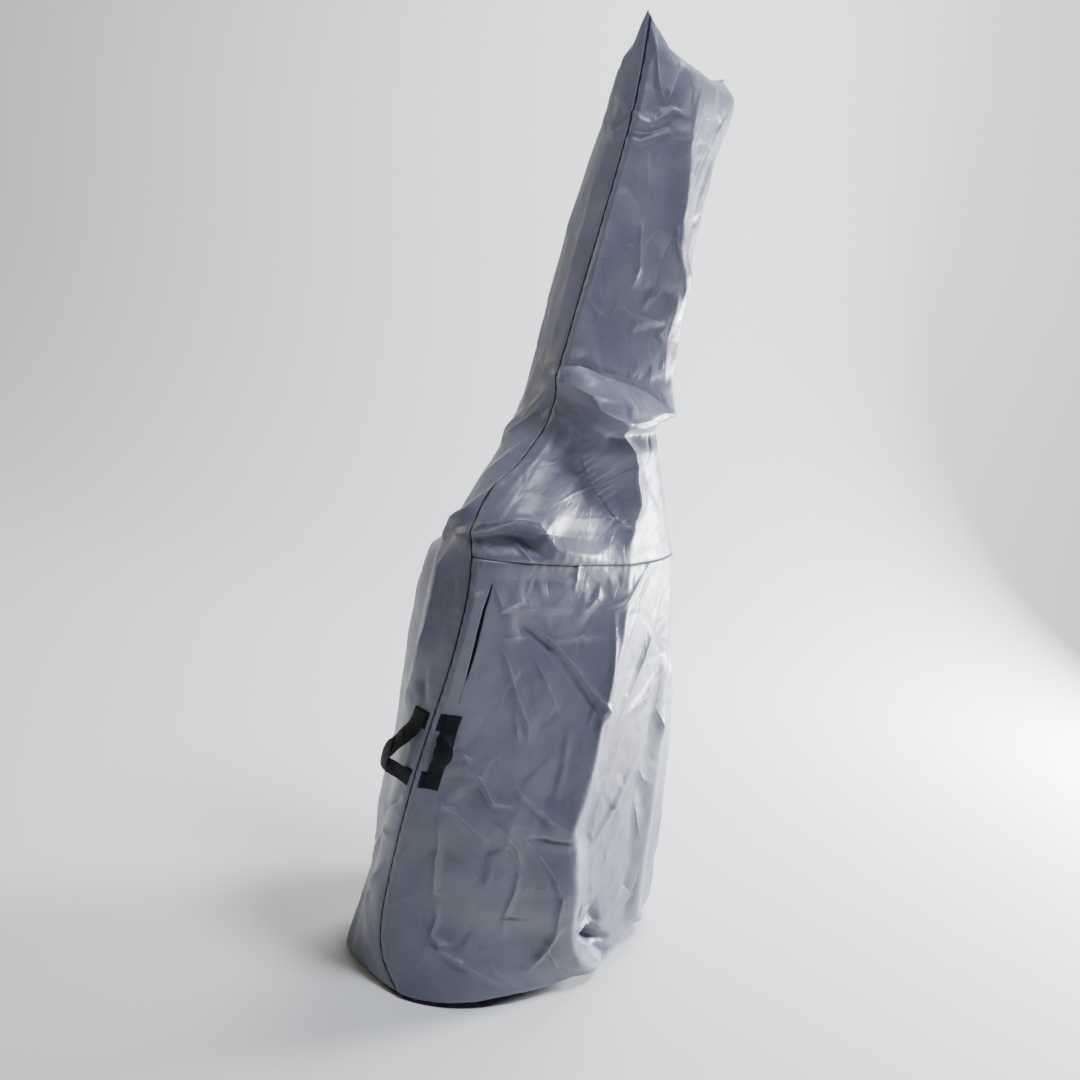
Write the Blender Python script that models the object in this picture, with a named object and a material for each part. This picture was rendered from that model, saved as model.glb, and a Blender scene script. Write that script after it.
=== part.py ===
"""Rain cover for a double bass case, hanging in the shape it takes over the case.

Metres, +Z up, origin where the cover is held under its crown.
X runs across the thickness, Y across the width, away from the handles.
Heights in the tables are above the hem; distances run along the girth
from the near side seam, positive on the right panels, negative on the left.
"""
import math

import bmesh
import bpy
import numpy as np

CLOTH = 0.0015
SEAM_CLEAR = 0.0007
CROSS_CLEAR = 0.00022
HELD_AT = (-0.090, 0.020, 2.030)

# height, left, right, near, far, near seam, far seam, squareness left, right near, right far
SECTIONS = (
    (0.000, -0.285, 0.190, -0.418, 0.445, -0.060, -0.04, 3.4, 2.5, 3.0),
    (0.060, -0.288, 0.188, -0.418, 0.445, -0.120, -0.04, 3.2, 2.5, 3.0),
    (0.200, -0.292, 0.178, -0.415, 0.440, -0.145, -0.04, 2.9, 2.5, 3.0),
    (0.500, -0.295, 0.152, -0.412, 0.420, -0.123, -0.04, 2.7, 2.5, 3.0),
    (0.750, -0.295, 0.118, -0.408, 0.395, -0.088, -0.04, 2.5, 2.5, 3.0),
    (0.880, -0.290, 0.090, -0.403, 0.370, -0.082, -0.04, 2.4, 2.6, 3.0),
    (0.985, -0.278, 0.064, -0.392, 0.350, -0.097, -0.05, 2.3, 2.6, 3.0),
    (1.040, -0.264, 0.048, -0.370, 0.325, -0.125, -0.06, 2.4, 2.6, 2.8),
    (1.130, -0.262, 0.030, -0.290, 0.275, -0.130, -0.09, 2.6, 2.8, 2.8),
    (1.210, -0.262, 0.014, -0.215, 0.215, -0.130, -0.10, 2.8, 3.0, 3.0),
    (1.290, -0.262, 0.000, -0.160, 0.165, -0.130, -0.10, 3.2, 3.4, 3.4),
    (1.400, -0.260, 0.014, -0.150, 0.160, -0.135, -0.10, 3.2, 3.4, 3.4),
    (1.700, -0.238, 0.014, -0.140, 0.150, -0.112, -0.10, 3.2, 3.4, 3.4),
    (1.850, -0.222, 0.014, -0.134, 0.165, -0.100, -0.09, 3.0, 3.2, 3.2),
    (1.960, -0.208, 0.012, -0.132, 0.185, -0.092, -0.09, 2.8, 2.8, 2.8),
    (2.030, -0.200, 0.004, -0.133, 0.200, -0.092, -0.09, 2.3, 2.4, 2.8),
    (2.055, -0.180, -0.016, -0.138, 0.212, -0.092, -0.09, 1.8, 1.8, 2.5),
    (2.072, -0.142, -0.050, -0.145, 0.220, -0.092, -0.09, 1.5, 1.5, 2.2),
    (2.080, -0.093, -0.089, -0.153, 0.222, -0.091, -0.091, 1.3, 1.3, 1.3),
)
COLUMNS = ("height", "left", "right", "near", "far", "seam", "far_seam", "sq_left", "sq_near", "sq_far")
LEFT_WEIGHT = 0.55
LOOP_POINTS = 90
CROWN = SECTIONS[-1][0]
CROSS_SEAM = 0.988

# height, girth distance of the edges over which the case draws the cloth
SEAM_EDGE = ((0.0, 0.016), (2.1, 0.016))
FRONT_EDGE = (
    (0.0, 0.543), (0.183, 0.481), (0.286, 0.449), (0.358, 0.443), (0.414, 0.415), (0.485, 0.433),
    (0.573, 0.427), (0.660, 0.428), (0.748, 0.427), (0.900, 0.445), (0.988, 0.460),
)
SIDE_EDGE = ((0.0, 0.96), (0.75, 0.90), (0.988, 0.80))
FACET_EDGE = ((0.9, 0.030), (1.3, 0.030))
VALLEY_EDGE = (
    (1.0, 0.480), (1.059, 0.460), (1.085, 0.385), (1.128, 0.307), (1.181, 0.198),
    (1.232, 0.118), (1.3, 0.100),
)
NECK_EDGE = (
    (1.30, 0.345), (1.50, 0.345), (1.60, 0.314), (1.718, 0.205), (1.798, 0.183), (1.925, 0.142),
    (1.973, 0.138), (2.044, 0.156),
)
NECK_FAR_EDGE = ((1.30, 0.39), (1.90, 0.40), (2.00, 0.36), (2.07, 0.28))
NECK_LEFT_EDGE = ((1.20, 0.050), (1.40, 0.044), (1.662, 0.048), (1.798, 0.054), (1.909, 0.041))
NECK_BACK_EDGE = ((1.20, 0.128), (2.1, 0.128))

# side, first edge, last edge, height and share of the way from round to straight between them
TAUT = (
    (1, SEAM_EDGE, FRONT_EDGE, ((0.0, 0.35), (0.15, 0.75), (0.75, 0.85), (0.95, 0.80), (1.06, 0.0))),
    (1, FRONT_EDGE, SIDE_EDGE, ((0.0, 0.5), (0.75, 0.6), (1.06, 0.0))),
    (1, FACET_EDGE, VALLEY_EDGE,
     ((1.00, 0.0), (1.04, 0.6), (1.12, 0.8), (1.20, 0.6), (1.25, 0.0))),
    (1, SEAM_EDGE, NECK_EDGE,
     ((1.33, 0.0), (1.40, 0.6), (1.50, 0.85), (1.95, 0.85), (2.03, 0.5), (2.07, 0.0))),
    (1, NECK_EDGE, NECK_FAR_EDGE, ((1.33, 0.0), (1.42, 0.3), (1.95, 0.35), (2.07, 0.0))),
    (-1, SEAM_EDGE, NECK_LEFT_EDGE, ((1.30, 0.0), (1.40, 0.9), (1.90, 0.9), (1.95, 0.0))),
    (-1, NECK_LEFT_EDGE, NECK_BACK_EDGE, ((1.30, 0.0), (1.40, 0.8), (1.90, 0.8), (1.98, 0.0))),
)

# the pointed corners of the crown: lift, reach along the ridge
NEAR_EAR = (0.060, 0.130)
FAR_EAR = (0.030, 0.120)
EAR_SHAPE = 1.5
EAR_FOOT = 1.990
EAR_GROWTH = 1.5

# name, reach above or left, reach below or right, sharpness, route of (distance, height, rise)
FOLDS = (
    ("ledge lip", 0.085, 0.036, 0.5,
     ((-0.02, 1.378, 0.006), (0.04, 1.360, 0.022), (0.13, 1.314, 0.046),
      (0.18, 1.304, 0.050), (0.26, 1.318, 0.042), (0.35, 1.342, 0.034), (0.40, 1.350, 0.0))),
    ("ledge underside", 0.030, 0.045, 0.2,
     ((0.10, 1.285, 0.0), (0.20, 1.272, -0.012), (0.33, 1.278, -0.024), (0.40, 1.280, 0.0))),
    ("shoulder valley", 0.080, 0.130, 0.8,
     ((0.03, 1.300, 0.0), (0.118, 1.232, -0.030), (0.198, 1.181, -0.042),
      (0.307, 1.128, -0.034), (0.385, 1.085, -0.020), (0.465, 1.058, 0.0))),
    ("shoulder ridge", 0.045, 0.030, 0.6,
     ((0.16, 1.305, 0.0), (0.246, 1.240, 0.018), (0.387, 1.133, 0.020), (0.47, 1.076, 0.0))),
    ("shoulder facet lip", 0.150, 0.030, 0.6,
     ((0.00, 1.045, 0.004), (0.04, 1.050, 0.024), (0.10, 1.062, 0.036), (0.15, 1.056, 0.034),
      (0.21, 1.016, 0.018), (0.32, 1.010, 0.010), (0.44, 1.050, 0.0))),
    ("arch hollow", 0.026, 0.030, 0.2,
     ((0.00, 1.018, -0.006), (0.06, 1.022, -0.020), (0.13, 1.022, -0.020), (0.19, 1.000, -0.004))),
    ("flat diagonal", 0.024, 0.090, 0.4,
     ((0.13, 0.870, 0.0), (0.21, 0.835, -0.009), (0.42, 0.652, -0.008), (0.45, 0.600, 0.0))),
    ("front crease", 0.090, 0.090, 0.7,
     ((0.445, 0.960, 0.0), (0.44, 0.880, 0.010), (0.43, 0.740, 0.012),
      (0.43, 0.573, 0.012), (0.415, 0.414, 0.014),
      (0.45, 0.286, 0.014), (0.48, 0.183, 0.014), (0.53, 0.030, 0.012), (0.54, -0.050, 0.012))),
    ("hem pinch", 0.040, 0.040, 0.3,
     ((0.58, 0.210, 0.0), (0.60, 0.135, -0.018), (0.62, 0.040, -0.012), (0.63, -0.050, -0.012))),
    ("neck front crease", 0.050, 0.050, 0.6,
     ((0.156, 2.030, 0.0), (0.140, 1.950, 0.008), (0.183, 1.798, 0.012),
      (0.205, 1.718, 0.012), (0.310, 1.600, 0.0))),
    ("neck low corner", 0.100, 0.240, 1.0,
     ((0.205, 1.718, 0.0), (0.24, 1.660, 0.008), (0.285, 1.580, 0.012),
      (0.30, 1.460, 0.012), (0.33, 1.380, 0.0))),
    ("left welt high", 0.030, 0.030, 0.5,
     ((-0.01, 1.365, 0.0), (-0.05, 1.300, 0.010), (-0.10, 1.240, 0.010), (-0.14, 1.200, 0.0))),
    ("left welt low", 0.028, 0.028, 0.6,
     ((0.026, 1.200, 0.0), (0.005, 1.121, 0.010), (-0.031, 1.058, 0.012),
      (-0.093, 1.026, 0.012), (-0.160, 0.970, 0.0))),
    ("near left edge", 0.060, 0.060, 0.7,
     ((-0.10, 1.020, 0.0), (-0.092, 0.940, 0.014), (-0.090, 0.800, 0.014),
      (-0.100, 0.676, 0.010), (-0.150, 0.400, 0.0))),
    ("left shoulder corner", 0.140, 0.120, 0.6,
     ((-0.26, 1.000, 0.0), (-0.255, 0.945, 0.054), (-0.25, 0.800, 0.050), (-0.25, 0.560, 0.056),
      (-0.24, 0.300, 0.070), (-0.23, 0.050, 0.040), (-0.23, -0.050, 0.034))),
    ("left drape high", 0.060, 0.060, 0.4,
     ((-0.42, 1.100, 0.0), (-0.50, 0.900, 0.016), (-0.55, 0.600, 0.018),
      (-0.58, 0.250, 0.012), (-0.60, -0.050, 0.012))),
    ("left drape low", 0.070, 0.070, 0.4,
     ((-0.75, 0.950, 0.0), (-0.80, 0.700, -0.016), (-0.80, 0.300, -0.018), (-0.82, -0.050, -0.014))),
    ("right drape", 0.070, 0.070, 0.4,
     ((0.70, 0.960, 0.0), (0.76, 0.700, 0.014), (0.80, 0.350, 0.016), (0.82, -0.050, 0.014))),
    ("left neck drape", 0.050, 0.050, 0.5,
     ((-0.22, 1.900, 0.0), (-0.26, 1.700, 0.010), (-0.30, 1.450, 0.014),
      (-0.36, 1.250, 0.012), (-0.46, 1.080, 0.0))),
    ("right neck drape", 0.050, 0.050, 0.5,
     ((0.30, 1.950, 0.0), (0.28, 1.800, -0.010), (0.34, 1.600, -0.010), (0.36, 1.460, 0.0))),
)
FOLD_POWER = 1.6
SEAM_FADE = 0.040

# end height and number of steps of each span of grid rows, close together at the ledge
LOW_ROWS = ((0.724, 11), (0.940, 5), (0.988, 1))
HIGH_ROWS = (
    (1.080, 6), (1.240, 5), (1.400, 12), (1.450, 1), (1.960, 7),
    (2.030, 2), (2.055, 1), (2.072, 1), (2.080, 1),
)

# girth distances of the first grid columns, and how many columns a panel has
LEFT_NEAR_COLUMNS = (0.012, 0.032, 0.052, 0.074)
LEFT_COLUMNS = 16
RIGHT_NEAR_COLUMNS = (0.016, 0.032, 0.047, 0.053, 0.067, 0.090)
RIGHT_COLUMNS = 23
COLUMN_POWER = 1.15
RIM_STEP = 0.004
SPOT_STEP = 0.008
TINY = 1e-6

# distance along the girth, lift of the hem
HEM_LIFT = (
    (-1.20, 0.0), (0.05, 0.0), (0.25, 0.014), (0.50, 0.016),
    (0.65, 0.022), (0.80, 0.038), (1.00, 0.022), (1.20, 0.0),
)
HEM_REACH = 0.25

BINDING_WIDTH = 0.0040
BINDING_PROUD = 0.0012
BINDING_TOP = 2.055
SEAM_STEP = 0.012
CROWN_EDGE = 0.0014
CROWN_APART = 0.0012

# height, distance of the slit from the near seam
SLIT_LINE = ((0.724, 0.049), (0.795, 0.048), (0.883, 0.047), (0.940, 0.058))
SLIT_HALF = 0.0030
SLIT_TIP_HALF = 0.0006
SLIT_SIDE = 0.017
SLIT_COLUMN = 3
PLACKET_HALF = 0.014
PLACKET_THICK = 0.0012
PLACKET_SEAT = 0.0011
PLACKET_END = 0.018
PLACKET_ROWS = 14
PLACKET_COLUMNS = 5

WEBBING_WIDTH = 0.039
WEBBING_THICK = 0.0020

# seat is the room left under a sewn end; route is sideways along the girth, rise from the foot, distance out
RIGHT_HANDLE = {
    "distance": 0.047,
    "seat": 0.0012,
    "foot": 0.467,
    "route": (
        (-0.030, 0.0195, 0.0), (-0.012, 0.0195, 0.0), (0.002, 0.0195, 0.0), (0.002, 0.042, 0.001),
        (0.002, 0.056, 0.007), (0.003, 0.072, 0.016), (0.003, 0.090, 0.021), (0.003, 0.108, 0.020),
        (0.003, 0.124, 0.012), (0.002, 0.138, 0.002), (0.002, 0.1585, 0.0), (-0.012, 0.1585, 0.0),
        (-0.030, 0.1585, 0.0),
    ),
}
LEFT_HANDLE = {
    "distance": -0.032,
    "seat": 0.0007,
    "foot": 0.458,
    "route": (
        (0.021, 0.0195, 0.0), (0.006, 0.0195, 0.003), (-0.012, 0.0195, 0.019), (-0.026, 0.0200, 0.034),
        (-0.030, 0.050, 0.039), (-0.027, 0.072, 0.036), (-0.021, 0.094, 0.027), (-0.013, 0.116, 0.015),
        (-0.006, 0.136, 0.007), (-0.003, 0.1585, 0.003), (0.008, 0.1585, 0.001), (0.021, 0.1585, 0.0),
    ),
}

COLOURS = {
    "cloth": ((0.27, 0.27, 0.31, 1.0), 0.42),
    "binding": ((0.020, 0.022, 0.035, 1.0), 0.60),
    "webbing": ((0.010, 0.011, 0.012, 1.0), 0.75),
}


def smooth_interp(x, xs, ys):
    """Monotone cubic through the table, so a fold row makes no overshoot."""
    xs, ys, x = (np.asarray(v, float) for v in (xs, ys, x))
    step = np.diff(xs)
    rate = np.diff(ys) / step
    slope = np.concatenate(([rate[0]], 0.5 * (rate[:-1] + rate[1:]), [rate[-1]]))
    same = rate[:-1] * rate[1:] > 0
    limit = 3.0 * np.minimum(np.abs(rate[:-1]), np.abs(rate[1:]))
    inner = np.clip(slope[1:-1], -limit, limit)
    slope[1:-1] = np.where(same, inner, 0.0)
    i = np.clip(np.searchsorted(xs, x) - 1, 0, len(step) - 1)
    t = np.clip((x - xs[i]) / step[i], 0.0, 1.0)
    a = (1 + 2 * t) * (1 - t) ** 2 * ys[i] + t * t * (3 - 2 * t) * ys[i + 1]
    return a + step[i] * (t * (1 - t) ** 2 * slope[i] - t * t * (1 - t) * slope[i + 1])


def section_row(height):
    table = np.array(SECTIONS)
    return {name: float(smooth_interp(height, table[:, 0], table[:, i])) for i, name in enumerate(COLUMNS)}


def section_loop(row):
    """Plan outline from the far centre by the left, the near centre and the right, back to the far centre."""
    turn = np.linspace(0.0, math.pi / 2, LOOP_POINTS)
    cx = LEFT_WEIGHT * row["left"] + (1.0 - LEFT_WEIGHT) * row["right"]
    cy = 0.5 * (row["near"] + row["far"])
    half = 0.5 * (row["far"] - row["near"])

    def quarter(across, squareness, sign):
        power = 2.0 / squareness
        return np.stack([cx + across * np.sin(turn) ** power, cy + sign * half * np.cos(turn) ** power], -1)

    left, right = row["left"] - cx, row["right"] - cx
    runs = (
        quarter(left, row["sq_left"], 1.0),
        quarter(left, row["sq_left"], -1.0)[::-1],
        quarter(right, row["sq_near"], -1.0),
        quarter(right, row["sq_far"], 1.0)[::-1],
    )
    return np.concatenate([runs[0]] + [run[1:] for run in runs[1:]]), cx


def panel_arc(height, side):
    """Plan outline at a height, the distance along it, and where one panel starts and how long it is."""
    row = section_row(height)
    loop, cx = section_loop(row)
    arc = np.concatenate(([0.0], np.cumsum(np.linalg.norm(np.diff(loop, axis=0), axis=1))))
    near = slice(2 * LOOP_POINTS - 2 - LOOP_POINTS // 2, 2 * LOOP_POINTS - 1 + LOOP_POINTS // 2)
    start = np.interp(row["seam"], loop[near, 0], arc[near])
    beyond = row["far_seam"] - cx
    end = arc[-1] - beyond if side > 0 else -beyond
    return loop, arc, start, abs(end - start)


def draw_taut(place, height, side, distance):
    """Where the edges of the case hold the cloth out, it runs nearly straight from one to the next."""
    plan = place(distance)
    for this, first, last, share in TAUT:
        share = np.array(share)
        if this != side or not share[0, 0] <= height <= share[-1, 0]:
            continue
        start, end = (np.interp(height, *np.array(edge).T) for edge in (first, last))
        pull = np.interp(height, share[:, 0], share[:, 1])
        a, b = place(start), place(end)
        t = np.clip((distance - start) / (end - start), 0.0, 1.0)[:, None]
        inside = ((distance > start) & (distance < end))[:, None]
        plan = np.where(inside, plan + pull * (a + t * (b - a) - plan), plan)
    return plan


def panel_line(height, side, distance):
    """Plan points at girth distances along one panel at a height, and the panel's length."""
    loop, arc, start, length = panel_arc(height, side)

    def place(spot):
        at = np.mod(start + side * spot, arc[-1])
        return np.stack([np.interp(at, arc, loop[:, 0]), np.interp(at, arc, loop[:, 1])], -1)

    return draw_taut(place, height, side, distance), length


def fold_rise(distance, height):
    """Sum of the named folds at girth distance and height."""
    rise = np.zeros_like(distance)
    for _, reach_a, reach_b, sharpness, route in FOLDS:
        route = np.array(route)
        best = np.full(distance.shape, np.inf)
        value = np.zeros_like(distance)
        for start, end in zip(route[:-1], route[1:]):
            dx, dy = end[0] - start[0], end[1] - start[1]
            px, py = distance - start[0], height - start[1]
            t = np.clip((px * dx + py * dy) / (dx * dx + dy * dy), 0.0, 1.0)
            gap = np.hypot(px - t * dx, py - t * dy)
            above = dx * py - dy * px > 0
            near = np.clip(1.0 - gap / np.where(above, reach_a, reach_b), 0.0, 1.0)
            smooth = np.sin(0.5 * math.pi * near) ** 2
            shape = sharpness * near ** FOLD_POWER + (1.0 - sharpness) * smooth
            closer = gap < best
            best = np.where(closer, gap, best)
            value = np.where(closer, shape * (start[2] + t * (end[2] - start[2])), value)
        rise += value
    return rise


def ear_lift(y, near, far, height):
    """The crown's corners stand up where the flat panels meet."""
    grow = np.clip((height - EAR_FOOT) / (CROWN - EAR_FOOT), 0.0, 1.0) ** EAR_GROWTH
    lift = 0.0
    for (rise, reach), gap in ((NEAR_EAR, y - near), (FAR_EAR, far - y)):
        lift = lift + rise * np.clip(1.0 - gap / reach, 0.0, 1.0) ** EAR_SHAPE
    return grow * lift


def cloth_surface(side, heights, across, distance_of):
    """Grid of middle-surface points, outward normals and girth distances, with a number of columns across."""
    heights = np.asarray(heights, float)
    # a row past each end gives the rims the slope of the cloth that continues there
    heights = np.concatenate(([heights[0] - RIM_STEP], heights, [heights[-1] + RIM_STEP]))
    rows = len(heights)
    points = np.zeros((rows, across, 3))
    along = np.zeros((rows, across))
    to_far_seam = np.zeros((rows, across))
    for i, height in enumerate(heights):
        row = section_row(height)
        distance = np.asarray(distance_of(height))
        plan, length = panel_line(height, side, distance)
        points[i, :, :2] = plan
        points[i, :, 2] = height + ear_lift(plan[:, 1], row["near"], row["far"], height)
        along[i] = distance * side
        to_far_seam[i] = length - distance
    normals = grid_normals(points, heights, side)
    level = np.repeat(np.asarray(heights)[:, None], across, 1)
    fade = np.clip(to_far_seam / SEAM_FADE, 0.0, 1.0)
    points = points + normals * (fold_rise(along, level) * fade)[..., None]
    ridge = 0.5 * (SECTIONS[-1][1] + SECTIONS[-1][2]) + side * CROWN_APART
    outside = np.maximum(points[..., 0], ridge) if side > 0 else np.minimum(points[..., 0], ridge)
    points[..., 0] = np.where(level > BINDING_TOP, outside, points[..., 0])
    hem = np.interp(along, *np.array(HEM_LIFT).T)
    points[..., 2] += hem * np.clip(1.0 - level / HEM_REACH, 0.0, 1.0) ** 2
    return points[1:-1], grid_normals(points, heights, side)[1:-1], along[1:-1]


def grid_normals(points, heights, side):
    """Outward normals of a grid whose rows lie at the given heights."""
    up = np.gradient(points, heights, axis=0)
    out = np.gradient(points, axis=1)
    normals = np.cross(out, up) * side
    return normals / np.maximum(np.linalg.norm(normals, axis=-1, keepdims=True), 1e-12)


def make_material(name):
    colour, roughness = COLOURS[name.split(" ")[0]]
    material = bpy.data.materials.new(name)
    material.use_nodes = True
    shader = material.node_tree.nodes["Principled BSDF"]
    shader.inputs["Base Color"].default_value = colour
    shader.inputs["Roughness"].default_value = roughness
    shader.inputs["Metallic"].default_value = 0.0
    return material


def add_object(name, vertices, faces, kind):
    moved = np.asarray(vertices) - np.array(HELD_AT)
    mesh = bpy.data.meshes.new(name)
    mesh.from_pydata([tuple(v) for v in moved], [], faces)
    mesh.validate()
    work = bmesh.new()
    work.from_mesh(mesh)
    bmesh.ops.recalc_face_normals(work, faces=work.faces)
    bmesh.ops.triangulate(work, faces=work.faces)
    work.to_mesh(mesh)
    work.free()
    mesh.materials.append(make_material(f"{kind} of {name}"))
    thing = bpy.data.objects.new(name, mesh)
    bpy.context.scene.collection.objects.link(thing)
    return thing


def shell(name, points, normals, thickness, kind, holes=()):
    """Closed sheet around a grid of middle points, with cells left out as holes."""
    rows, across = points.shape[:2]
    outer = points + normals * thickness / 2
    inner = points - normals * thickness / 2
    vertices = np.concatenate([outer.reshape(-1, 3), inner.reshape(-1, 3)])
    back = rows * across
    kept = np.ones((rows - 1, across - 1), bool)
    for i, j in holes:
        kept[i, j] = False
    faces = []
    for i, j in zip(*np.nonzero(kept)):
        a, b = i * across + j, i * across + j + 1
        c, d = b + across, a + across
        faces += [(a, b, c, d), (back + d, back + c, back + b, back + a)]
        sides = (
            (i == 0 or not kept[i - 1, j], a, b),
            (j == across - 2 or not kept[i, j + 1], b, c),
            (i == rows - 2 or not kept[i + 1, j], c, d),
            (j == 0 or not kept[i, j - 1], d, a),
        )
        faces += [(q, p, back + p, back + q) for is_rim, p, q in sides if is_rim]
    used = sorted({v for face in faces for v in face})
    place = {v: k for k, v in enumerate(used)}
    faces = [tuple(place[v] for v in face) for face in faces]
    return add_object(name, vertices[used], faces, kind)


def column_distances(height, length, near_columns, count, edge, slit):
    """Girth distances of the grid columns at one height, close together by the handles."""
    line = np.array(SLIT_LINE)
    near = list(near_columns)
    if slit:
        bottom, top = line[0, 0], line[-1, 0]
        centre = np.interp(height, line[:, 0], line[:, 1])
        inside = bottom - TINY <= height <= top + TINY
        middle = 1.0 - abs(2.0 * (height - bottom) / (top - bottom) - 1.0) ** 4
        half = SLIT_TIP_HALF + (SLIT_HALF - SLIT_TIP_HALF) * middle if inside else SLIT_HALF
        near[1:5] = (centre - SLIT_SIDE, centre - half, centre + half, centre + SLIT_SIDE)
    rest = np.linspace(0.0, 1.0, count - len(near) - 1) ** COLUMN_POWER
    last = near[-1] + (near[-1] - near[-2])
    return np.concatenate(([edge], near, last + rest * (length - edge - last)))


def panel(name, side, heights, near_columns, count, slit=False):
    bottom, top = SLIT_LINE[0][0], SLIT_LINE[-1][0]

    def distances(height):
        length = panel_arc(height, side)[3]
        edge = BINDING_WIDTH / 2 + SEAM_CLEAR if height <= BINDING_TOP else CROWN_EDGE
        cut = slit and height < 0.5 * (top + CROSS_SEAM)
        return column_distances(height, length, near_columns, count, edge, cut)

    points, normals, _ = cloth_surface(side, heights, count, distances)
    holes = []
    if slit:
        steps = zip(heights[:-1], heights[1:])
        holes = [(i, SLIT_COLUMN) for i, (low, high) in enumerate(steps)
                 if low >= bottom - TINY and high <= top + TINY]
    return shell(name, points, normals, CLOTH, "cloth", holes)


def seam_frame(heights, which):
    """Points, outward directions and girth directions along a side seam."""
    spots = SEAM_STEP * np.arange(3)
    found = {}
    for side in (1, -1):
        def distances(height, side=side):
            return spots if which == "near" else panel_arc(height, side)[3] - spots

        found[side], _, _ = cloth_surface(side, heights, len(spots), distances)
    centre = 0.5 * (found[1][:, 0] + found[-1][:, 0])
    across = found[1][:, 1] - found[-1][:, 1]
    across /= np.linalg.norm(across, axis=1, keepdims=True)
    along = np.gradient(centre, axis=0)
    along /= np.linalg.norm(along, axis=1, keepdims=True)
    out = np.cross(across, along)
    out /= np.linalg.norm(out, axis=1, keepdims=True)
    return centre, out, across


def strip(name, centre, out, across, half, low, high, kind):
    """Bar of rectangular section along a line of centres."""
    corners = ((-half, low), (half, low), (half, high), (-half, high))
    rings = np.stack([centre + across * a + out * b for a, b in corners], 1)
    count = len(centre)
    vertices = rings.reshape(-1, 3)
    faces = [(0, 1, 2, 3), tuple(4 * (count - 1) + k for k in (3, 2, 1, 0))]
    for i in range(count - 1):
        for k in range(4):
            a, b = 4 * i + k, 4 * i + (k + 1) % 4
            faces.append((a, a + 4, b + 4, b))
    return add_object(name, vertices, faces, kind)


def binding(name, heights, which):
    centre, out, across = seam_frame(heights, which)
    half, top = BINDING_WIDTH / 2, CLOTH / 2 + BINDING_PROUD
    return strip(name, centre, out, across, half, -CLOTH / 2, top, "binding")


def cloth_spot(distance, height):
    """Middle point and outward direction of the cloth at a girth distance and height."""
    side = 1 if distance > 0 else -1
    spots = abs(distance) + np.array([-SPOT_STEP, 0.0, SPOT_STEP])
    heights = height + np.array([-SPOT_STEP, 0.0, SPOT_STEP])
    points, normals, _ = cloth_surface(side, heights, len(spots), lambda h: spots)
    return points[1, 1], normals[1, 1]


def handle(name, shape):
    """Webbing strap whose two ends turn the corner and lie sewn to the cloth beside the seam."""
    seat = CLOTH / 2 + shape["seat"] + WEBBING_THICK / 2
    spots, outs = [], []
    for sideways, rise, away in shape["route"]:
        here, normal = cloth_spot(shape["distance"] + sideways, shape["foot"] + rise)
        spots.append(here + normal * (seat + away))
        outs.append(normal)
    return ribbon(name, np.array(spots), np.array(outs))


def ribbon(name, spots, outs):
    """Flat strap along a route, mitred where the route turns in the strap's own plane."""
    legs = np.diff(spots, axis=0)
    legs /= np.linalg.norm(legs, axis=1, keepdims=True)
    before = np.concatenate((legs[:1], legs))
    after = np.concatenate((legs, legs[-1:]))
    along = before + after
    along /= np.linalg.norm(along, axis=1, keepdims=True)
    outs = outs - along * (outs * along).sum(-1, keepdims=True)
    outs /= np.linalg.norm(outs, axis=1, keepdims=True)
    widths = np.cross(along, outs)
    in_plane = before - outs * (before * outs).sum(-1, keepdims=True)
    cosine = (in_plane * along).sum(-1) / np.linalg.norm(in_plane, axis=1)
    widths = widths / cosine[:, None]
    half = WEBBING_THICK / 2
    return strip(name, spots, outs, widths, WEBBING_WIDTH / 2, -half, half, "webbing")


def placket():
    """Dark tape sewn behind the slit."""
    line = np.array(SLIT_LINE)
    heights = np.linspace(line[0, 0] - PLACKET_END, line[-1, 0] + PLACKET_END / 2, PLACKET_ROWS)
    across = np.linspace(-PLACKET_HALF, PLACKET_HALF, PLACKET_COLUMNS)

    def distances(height):
        return np.interp(height, line[:, 0], line[:, 1]) + across

    points, normals, _ = cloth_surface(1, heights, PLACKET_COLUMNS, distances)
    back = CLOTH / 2 + PLACKET_SEAT + PLACKET_THICK / 2
    return shell("slit_placket", points - normals * back, normals, PLACKET_THICK, "binding")


def row_heights(spans, bottom, top):
    """Heights of the grid rows: each span ends at a height and has a number of steps."""
    heights = [bottom]
    for end, steps in spans:
        end = min(end, top)
        heights += list(np.linspace(heights[-1], end, steps + 1)[1:])
    return np.array(heights)


def build():
    for old in list(bpy.data.objects):
        bpy.data.objects.remove(old, do_unlink=True)
    low_rows = row_heights(LOW_ROWS, 0.0, CROSS_SEAM - CROSS_CLEAR)
    high_rows = row_heights(HIGH_ROWS, CROSS_SEAM + CROSS_CLEAR, CROWN)
    all_rows = np.concatenate((low_rows[:-1], [CROSS_SEAM], high_rows[1:]))
    panel("left_panel", -1, all_rows, LEFT_NEAR_COLUMNS, LEFT_COLUMNS)
    panel("right_upper_panel", 1, high_rows, RIGHT_NEAR_COLUMNS, RIGHT_COLUMNS)
    panel("right_lower_panel", 1, low_rows, RIGHT_NEAR_COLUMNS, RIGHT_COLUMNS, slit=True)
    seam_rows = all_rows[all_rows <= BINDING_TOP]
    binding("near_seam_binding", seam_rows, "near")
    binding("far_seam_binding", seam_rows, "far")
    placket()
    handle("right_handle", RIGHT_HANDLE)
    handle("left_handle", LEFT_HANDLE)


build()
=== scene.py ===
# %% [markdown]
# # Double bass case rain cover
# A loose bag of coated nylon is pulled over a tall hard case and hangs from its head.
# This file gives the cover its looks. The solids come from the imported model, and the visible
# cloth, seams, stitches and straps are made here, in metres, on the same shape.

# %% Setup
import math
import random

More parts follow.
